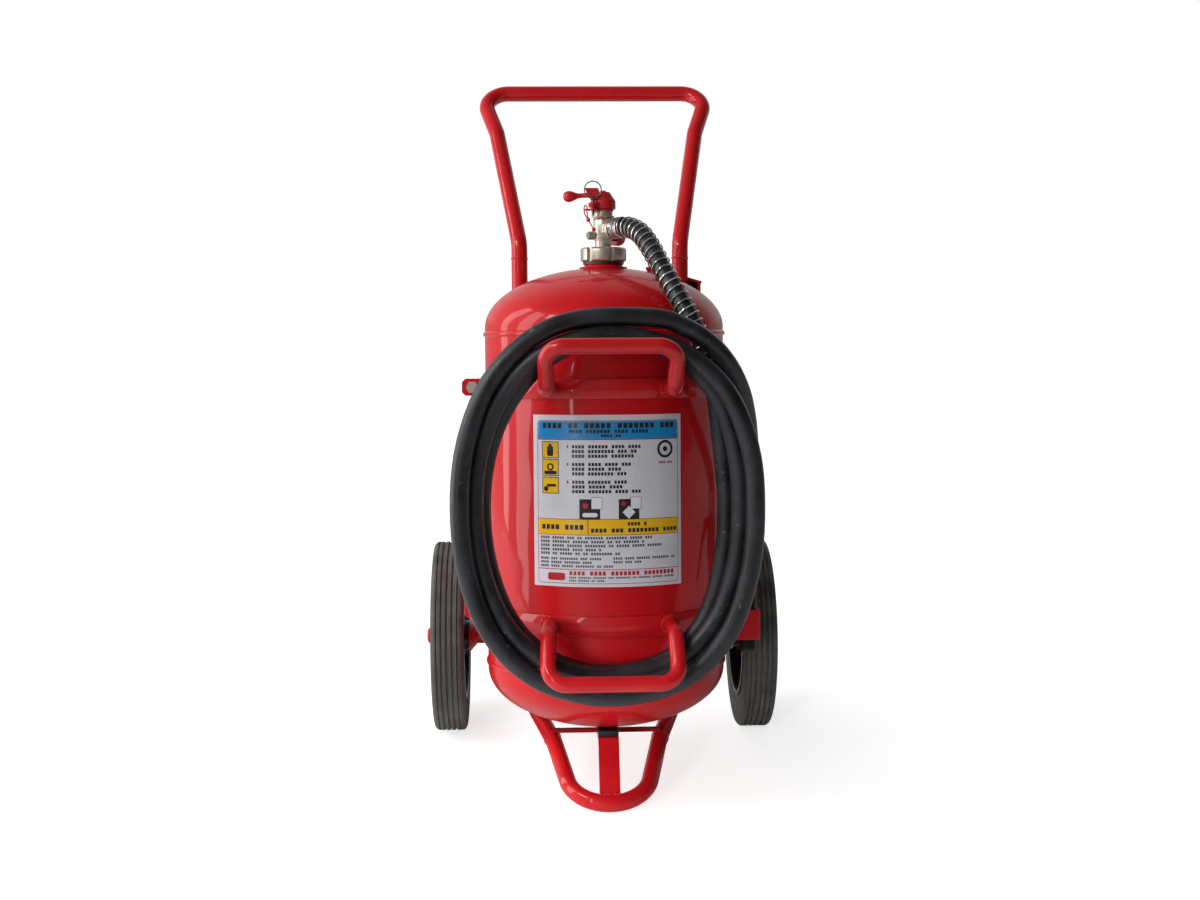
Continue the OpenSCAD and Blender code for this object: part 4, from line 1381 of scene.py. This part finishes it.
@dataclass(frozen=True)
class WeldBeads:
    """Runs of weld, painted over with the frame: ripples a few millimetres apart."""

    pitch: float = 1.3
    ripple: float = 0.16
    wander: float = 0.22
    wander_pace: float = 0.23
    wander_apart: float = 0.7
    ring_points: int = 24
    hanger_side: float = 84.3
    hanger_heights: Pair = (404, 75)
    hanger_ring: float = 11.4
    hanger_reach: float = 179.2
    tube_side: float = 125
    tube_ring: float = 12.1
    plate_faces: Pair = (-3.4, 3.4)
    band_reach: float = 181
    band_lows: Pair = (391, 62)
    band_turns: Pair = (46.86, 52.2)
    band_tall: float = 26

    def bead(self, name: str, line: list[Triple], radius: float, closed: bool = False) -> Piece:
        """Lays one bead along a line.

        Args:
            name: the bead's name.
            line: its points in the upright frame, in millimetres.
            radius: its radius, in millimetres.
            closed: whether it runs round to its start.

        Returns:
            The bead.
        """
        ends = line + [line[0]] if closed else line
        spots: list[Vector] = []
        for a, b in zip(ends, ends[1:]):
            start, stop = Vector(a), Vector(b)
            count = max(1, round((stop - start).length / self.pitch))
            spots += [start.lerp(stop, k / count) for k in range(count)]
        if not closed:
            spots.append(Vector(ends[-1]))
        apart = len(spots) * self.wander_apart
        swell = [
            1
            + self.ripple * (1 if i % 2 else -1)
            + self.wander * noise.noise(Vector((i * self.wander_pace, apart, radius)))
            for i in range(len(spots))
        ]
        return tube(name, [STANCE.point(*p) for p in spots], radius / 1000, 8, swell, closed)

    @property
    def turns(self) -> list[float]:
        """The angles of a ring's points."""
        return [math.tau * i / self.ring_points for i in range(self.ring_points)]

    def circle(self, centre: Triple, axis: Triple, radius: float) -> list[Triple]:
        """Points of a circle in the upright frame, in millimetres."""
        turn = axis_matrix(Vector(centre), Vector(axis))
        return [
            tuple(turn @ Vector((radius * math.cos(a), radius * math.sin(a), 0)))
            for a in self.turns
        ]

    def hanger_roots(self) -> list[Piece]:
        """Rings where the two hanger rods meet their bands."""
        beads = []
        for z in self.hanger_heights:
            for side in (-self.hanger_side, self.hanger_side):
                ring = []
                for a in self.turns:
                    x = side + self.hanger_ring * math.cos(a)
                    y = -math.sqrt(self.hanger_reach**2 - x * x)
                    ring.append((x, y, z + self.hanger_ring * math.sin(a)))
                beads.append(self.bead("hanger_root_weld", ring, 2.5, closed=True))
        return beads

    def tube_joints(self) -> list[Piece]:
        """Rings at the tubes, foot loop, axle and collar, and runs up the gusset plates."""
        beads = []
        for side in (-1, 1):
            ring = self.circle((side * self.tube_side, 146.5, 600), (0, 0, 1), self.tube_ring)
            beads.append(self.bead("handle_weld", ring, 1.5, True))
            leg = (side * 80.6, 7.4, -123.7)
            run = (side * -27.5, -95, -30)
            ring = self.circle(leg, run, self.tube_ring)
            beads.append(self.bead("foot_loop_weld", ring, 1.6, True))
            for face in self.plate_faces:
                x = side * self.tube_side + face
                ring = self.circle((x, 195, 3), (1, 0, 0), 13.8)
                beads.append(self.bead("axle_weld", ring, 1.9, True))
                beads.append(self.bead("gusset_weld", [(x, 159, -20), (x, 159, 54)], 1.9))
        beads.append(self.bead("collar_weld", self.circle((0, 0, 577), (0, 0, 1), 33.4), 1.7, True))
        return beads

    def band_joints(self) -> list[Piece]:
        """Runs between the bands and the frame tubes, and beside the nozzle's clip."""
        beads = []
        for side in (-1, 1):
            for low in self.band_lows:
                for turn in self.band_turns:
                    x = side * self.band_reach * math.cos(math.radians(turn))
                    y = self.band_reach * math.sin(math.radians(turn))
                    run = [(x, y, low), (x, y, low + self.band_tall)]
                    beads.append(self.bead("band_weld", run, 2.4))
        beads.append(self.bead("clip_weld", [(163.2, -75, 61), (163.2, -75, 79)], 1.8))
        return beads

    def strap_ends(self) -> list[Piece]:
        """Heavy runs where the strap meets the foot loop."""
        front = [(x, -121.4 - abs(x) * 0.01, -175.2 + x * x * 0.004) for x in (-15, -7, 0, 7, 15)]
        rear = [(x, -115.9, -176.2) for x in (-15, 0, 15)]
        return [self.bead("strap_weld", front, 2.7), self.bead("strap_weld", rear, 2.2)]

    def shell_seam(self) -> Piece:
        """The cylinder's own seam, up its back."""
        return self.bead("shell_seam_weld", [(0, 174.9, 5), (0, 174.9, 476)], 1.5)

    def build(self) -> None:
        """Lays all the beads as one piece."""
        beads = [
            *self.hanger_roots(),
            *self.tube_joints(),
            *self.band_joints(),
            *self.strap_ends(),
            self.shell_seam(),
        ]
        piece = join("frame_weld_beads", beads)
        smooth(piece, degrees=60)
        piece_done(piece, "frame", TUBE_RED)


# ---------------------------------------------------------------- tyres


@dataclass(frozen=True)
class Tyre:
    """A solid rubber tyre: five fine grooves round the tread, and a dished sidewall."""

    across: float = 50
    radius: float = 150
    shoulder: float = 8
    seat: float = 100.1
    bead_half: float = 22
    groove_wide: float = 3
    groove_deep: float = 3
    grooves: int = 5
    steps: int = 160
    edge_deg: float = 32
    lip: float = 0.5
    ease: float = 0.4
    middle: float = 240
    side_wall: tuple[Pair, ...] = (
        (0, 139.6), (0.7, 138.6), (1.1, 136), (1.3, 128), (1.1, 121), (0.7, 118.6),
        (0, 117.6), (0, 114.4), (0.6, 113.2), (1.6, 112.8),
    )
    bead_top: float = 112

    def section(self) -> list[Pair]:
        """The closed section, as distance along the axle and radius, in millimetres."""
        half, pitch = self.across / 2, self.across / (self.grooves + 1)
        tread: list[Pair] = []
        for i in range(1, self.grooves + 1):
            c, w = i * pitch - half, self.groove_wide / 2
            top, floor = self.radius, self.radius - self.groove_deep
            tread += [(c - w - self.lip, top), (c - w, top - self.ease), (c - w + self.ease, floor)]
            tread += [(c + w - self.ease, floor), (c + w, top - self.ease), (c + w + self.lip, top)]
        centre = (half - self.shoulder, self.radius - self.shoulder)
        turns = (math.radians(a) for a in range(0, 91, 15))
        round_off = [(self.shoulder * math.sin(a), self.shoulder * math.cos(a)) for a in turns]
        wall = [(centre[0] + out, centre[1] + up) for out, up in round_off]
        wall += [(half - inset, radius) for inset, radius in self.side_wall]
        wall += [(self.bead_half, self.bead_top), (self.bead_half, self.seat)]
        far = [(-x, r) for x, r in reversed(wall)]
        return tread + wall + far

    def build(self) -> None:
        """Turns one tyre and copies it to the other side."""
        first = lathe("left_moulded_tyre", self.section(), self.steps, Matrix(), self.edge_deg)
        second = first.copy()
        second.data = first.data.copy()
        bpy.context.scene.collection.objects.link(second)
        second.name = second.data.name = "right_moulded_tyre"
        back, up = STANCE.axle_back * 1000, STANCE.axle_up * 1000
        for piece, side, x in ((first, "left", -self.middle), (second, "right", self.middle)):
            settle(piece, Matrix.Translation(STANCE.point(x, back, up)))
            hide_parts(f"{side}_tyre")
            piece_done(piece, f"{side}_wheel", TYRE_RUBBER)


# ---------------------------------------------------------------- small fittings


@dataclass(frozen=True)
class GaugeFace:
    """The gauge's printed scale: three coloured arcs and eleven ticks."""

    heading_deg: float = 52
    height: float = 624
    dial: float = 30.12
    inner: float = 6.6
    outer: float = 9.4
    ticks: Pair = (9.5, 10.5)
    tick_half: float = 1.6
    tick_turns: tuple[int, int, int] = (60, 301, 24)
    reds: tuple[Pair, ...] = ((60, 112), (248, 300))
    green: Pair = (114, 246)
    ink: float = 0.00008
    sides: int = 120

    @property
    def place(self) -> Matrix:
        """Takes the dial's own frame, in metres, to the row frame."""
        return (
            STANCE.matrix
            @ Matrix.Translation((0, 0, self.height / 1000))
            @ Matrix.Rotation(math.radians(self.heading_deg), 4, "Z")
            @ Matrix.Rotation(math.radians(90), 4, "Y")
            @ Matrix.Translation((0, 0, self.dial / 1000))
        )

    def arc(self, name: str, start: float, stop: float, radii: Pair) -> Piece:
        """Cuts one thin arc out of a ring.

        Args:
            name: the arc's name.
            start: where it starts, in degrees.
            stop: where it ends.
            radii: its inner and outer radius, in millimetres.

        Returns:
            The arc.
        """
        piece = flat_ring(name, radii[1] / 1000, radii[0] / 1000, self.sides)
        turns = {
            face.index: math.degrees(math.atan2(face.center.y, face.center.x)) % 360
            for face in piece.data.polygons
        }
        drop_faces(piece, {i for i, turn in turns.items() if not start <= turn <= stop})
        with whole_mesh():
            bpy.ops.mesh.extrude_region_move(TRANSFORM_OT_translate={"value": (0, 0, self.ink)})
        return settle(piece, self.place)

    def build(self) -> None:
        """Prints the arcs and the ticks."""
        radii = (self.inner, self.outer)
        reds = [self.arc("scale", *turns, radii) for turns in self.reds]
        piece_done(join("gauge_scale_red", reds), "frame", SCALE_RED)
        green = self.arc("gauge_scale_green", *self.green, radii)
        piece_done(green, "frame", SCALE_GREEN)
        half = self.tick_half
        turns = range(*self.tick_turns)
        ticks = [self.arc("tick", a - half, a + half, self.ticks) for a in turns]
        piece_done(join("gauge_scale_ticks", ticks), "frame", BLACK_NYLON)


@dataclass(frozen=True)
class PistolTrim:
    """The hose's ribbed ferrule at the pistol and the pistol's rubber grip."""

    at: Pair = (205, -55)
    rib: float = 0.7
    rib_shares: tuple[float, ...] = (0.15, 0.3, 0.7, 0.85)

    def ribs(
        self, name: str, low: float, high: float, bore: float, radius: float, count: int
    ) -> Piece:
        """Turns a ribbed sleeve and stands it on the pistol's axis.

        Args:
            name: the sleeve's name.
            low: its lower end, in the upright frame, in millimetres.
            high: its upper end.
            bore: its inner radius.
            radius: its radius over the ribs.
            count: how many ribs.

        Returns:
            The sleeve.
        """
        step, valley = (high - low) / count, radius - self.rib
        edge = [(low, bore), (low, valley)]
        for i in range(count):
            z = low + i * step
            shape = zip(self.rib_shares, (valley, radius, radius, valley))
            edge += [(z + share * step, reach) for share, reach in shape]
        edge += [(high, valley), (high, bore)]
        spot = Matrix.Translation((self.at[0] / 1000, self.at[1] / 1000, 0))
        return lathe(name, edge, 48, STANCE.matrix @ spot @ X_TO_Z, edge_deg=30)

    def build(self) -> None:
        """Makes the ferrule and the grip."""
        ferrule = self.ribs("hose_ferrule", 229, 249, 13.2, 15.4, 5)
        piece_done(ferrule, "frame", ZINC)
        grip = self.ribs("pistol_grip_sleeve", 170.4, 184, 13.6, 15.6, 4)
        piece_done(grip, "frame", SEAL_RUBBER)


@dataclass(frozen=True)
class LeverKnob:
    """The smooth moulded end of the valve lever, from its arm out to its knob."""

    height: float = 685.5
    tilt_deg: float = -94
    skin: float = 0.15
    outline: tuple[Pair, ...] = (
        (15, 4.3), (24, 3.6), (32, 3.3), (37, 3.8), (41, 5.2), (44.5, 6.9), (48.5, 7.9),
        (52, 7.9), (55.5, 6.6), (57.8, 4.2), (58.8, 0),
    )

    def build(self) -> None:
        """Turns the arm and its knob as one skin over the lever."""
        points = [Vector((x, r + self.skin if r else 0)) for x, r in self.outline]
        rows = through_points([p.to_3d() for p in points], 4)
        section = [(self.outline[0][0], 0.0), *((p.x, max(p.y, 0)) for p in rows)]
        turn = Matrix.Rotation(math.radians(self.tilt_deg - 90), 4, "Y")
        place = STANCE.matrix @ Matrix.Translation((0, 0, self.height / 1000)) @ turn
        piece = lathe("lever_knob", section, 40, place, edge_deg=50)
        piece_done(piece, "lever", CAP_RED)


@dataclass(frozen=True)
class ValveRings:
    """The flat washer under the valve's bonnet and the red sealing ring below it."""

    bore: float = 12
    washer: Triple = (651.5, 1.6, 16.6)
    seal: Triple = (647.5, 1.4, 15.0)

    def turn(self, name: str, low: float, thick: float, radius: float, finish: Finish) -> None:
        """Turns one ring with eased edges.

        Args:
            name: the piece's name.
            low: height of its underside, in millimetres.
            thick: its thickness.
            radius: its outer radius.
            finish: what it is made of.
        """
        ease = thick / 4
        top = low + thick
        section = [(low, self.bore), (low, radius - ease), (low + ease, radius)]
        section += [(top - ease, radius), (top, radius - ease), (top, self.bore)]
        piece = lathe(name, section, 64, STANCE.matrix @ X_TO_Z)
        piece_done(piece, "frame", finish)

    def build(self) -> None:
        """Makes the washer and the sealing ring."""
        self.turn("bonnet_washer", *self.washer, NICKEL)
        self.turn("bonnet_sealing_ring", *self.seal, SEAL_ORANGE)


@dataclass(frozen=True)
class PaintedShadeWeb:
    """The folded web that closes the back of the rear bracket, black as painted shade inside its
    channel.
    """

    near: float = 137
    far: float = 152.2
    low: float = 545.5
    back: float = 151.2
    thick: float = 1.6
    tops: Pair = (565.2, 560.6)
    toe: float = 4

    def build(self) -> None:
        """Folds a thin panel under the bracket's sloping top; its black is painted shade."""
        deselect()
        bpy.ops.mesh.primitive_cube_add(size=1, location=(0.5, 0.5, 0.5))
        piece = settle(fresh("painted_shade_web"))
        for point in piece.data.vertices:
            far = point.co.x > 0.5
            rise = self.tops[far] - self.low if point.co.z > 0.5 else 0
            point.co = STANCE.point(
                self.far if far else self.near,
                self.back + self.thick * (point.co.y - 0.5),
                self.low + rise + (self.toe if not rise and not far else 0),
            )
        apply_modifier(piece, "BEVEL", width=0.0005, segments=2, limit_method="ANGLE")
        smooth(piece)
        # Black enamel here is painted shade: it stands for the dark inside of the bracket's
        # channel.
        piece_done(piece, "frame", RIM_BLACK)


# ---------------------------------------------------------------- finishes of the CAD pieces


@dataclass(frozen=True)
class Dresser:
    """Gives every CAD piece its finish, and rounds the edges of the rigid ones."""

    merge: float = 1e-6
    segments: int = 2
    sharp_deg: float = 38

    def build(self) -> None:
        """Dresses all the CAD pieces."""
        for name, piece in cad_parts.items():
            NODE_FINISH[name].dress(piece)
            if name in NODE_EDGE:
                self.round_edges(piece, NODE_EDGE[name] / 1000)
            LOG.info("%s is dressed as %s", name, NODE_FINISH[name].name)

    def round_edges(self, piece: Piece, width: float) -> None:
        """Adds a live weld and a small bevel, so that edges catch the light.

        Args:
            piece: the CAD piece, whose own mesh stays as it is.
            width: the bevel's width, in metres.
        """
        weld = piece.modifiers.new("weld", "WELD")
        weld.merge_threshold = self.merge
        bevel = piece.modifiers.new("rounded_edges", "BEVEL")
        bevel.width = width
        bevel.segments = self.segments
        bevel.limit_method = "ANGLE"
        bevel.angle_limit = math.radians(self.sharp_deg)
        bevel.use_clamp_overlap = True
        bevel.harden_normals = True


def main() -> None:
    """Builds the scene in order: camera, hose and its fittings, then the rest."""
    logging.basicConfig(level=logging.INFO, format="%(message)s")
    first = (Studio, PistolTrim, CoiledHose, PressedTank, PrintedPanel, WeldBeads, Tyre)
    for part in (*first, GaugeFace, LeverKnob, ValveRings, PaintedShadeWeb, Dresser):
        part().build()


if __name__ == "__main__":
    main()
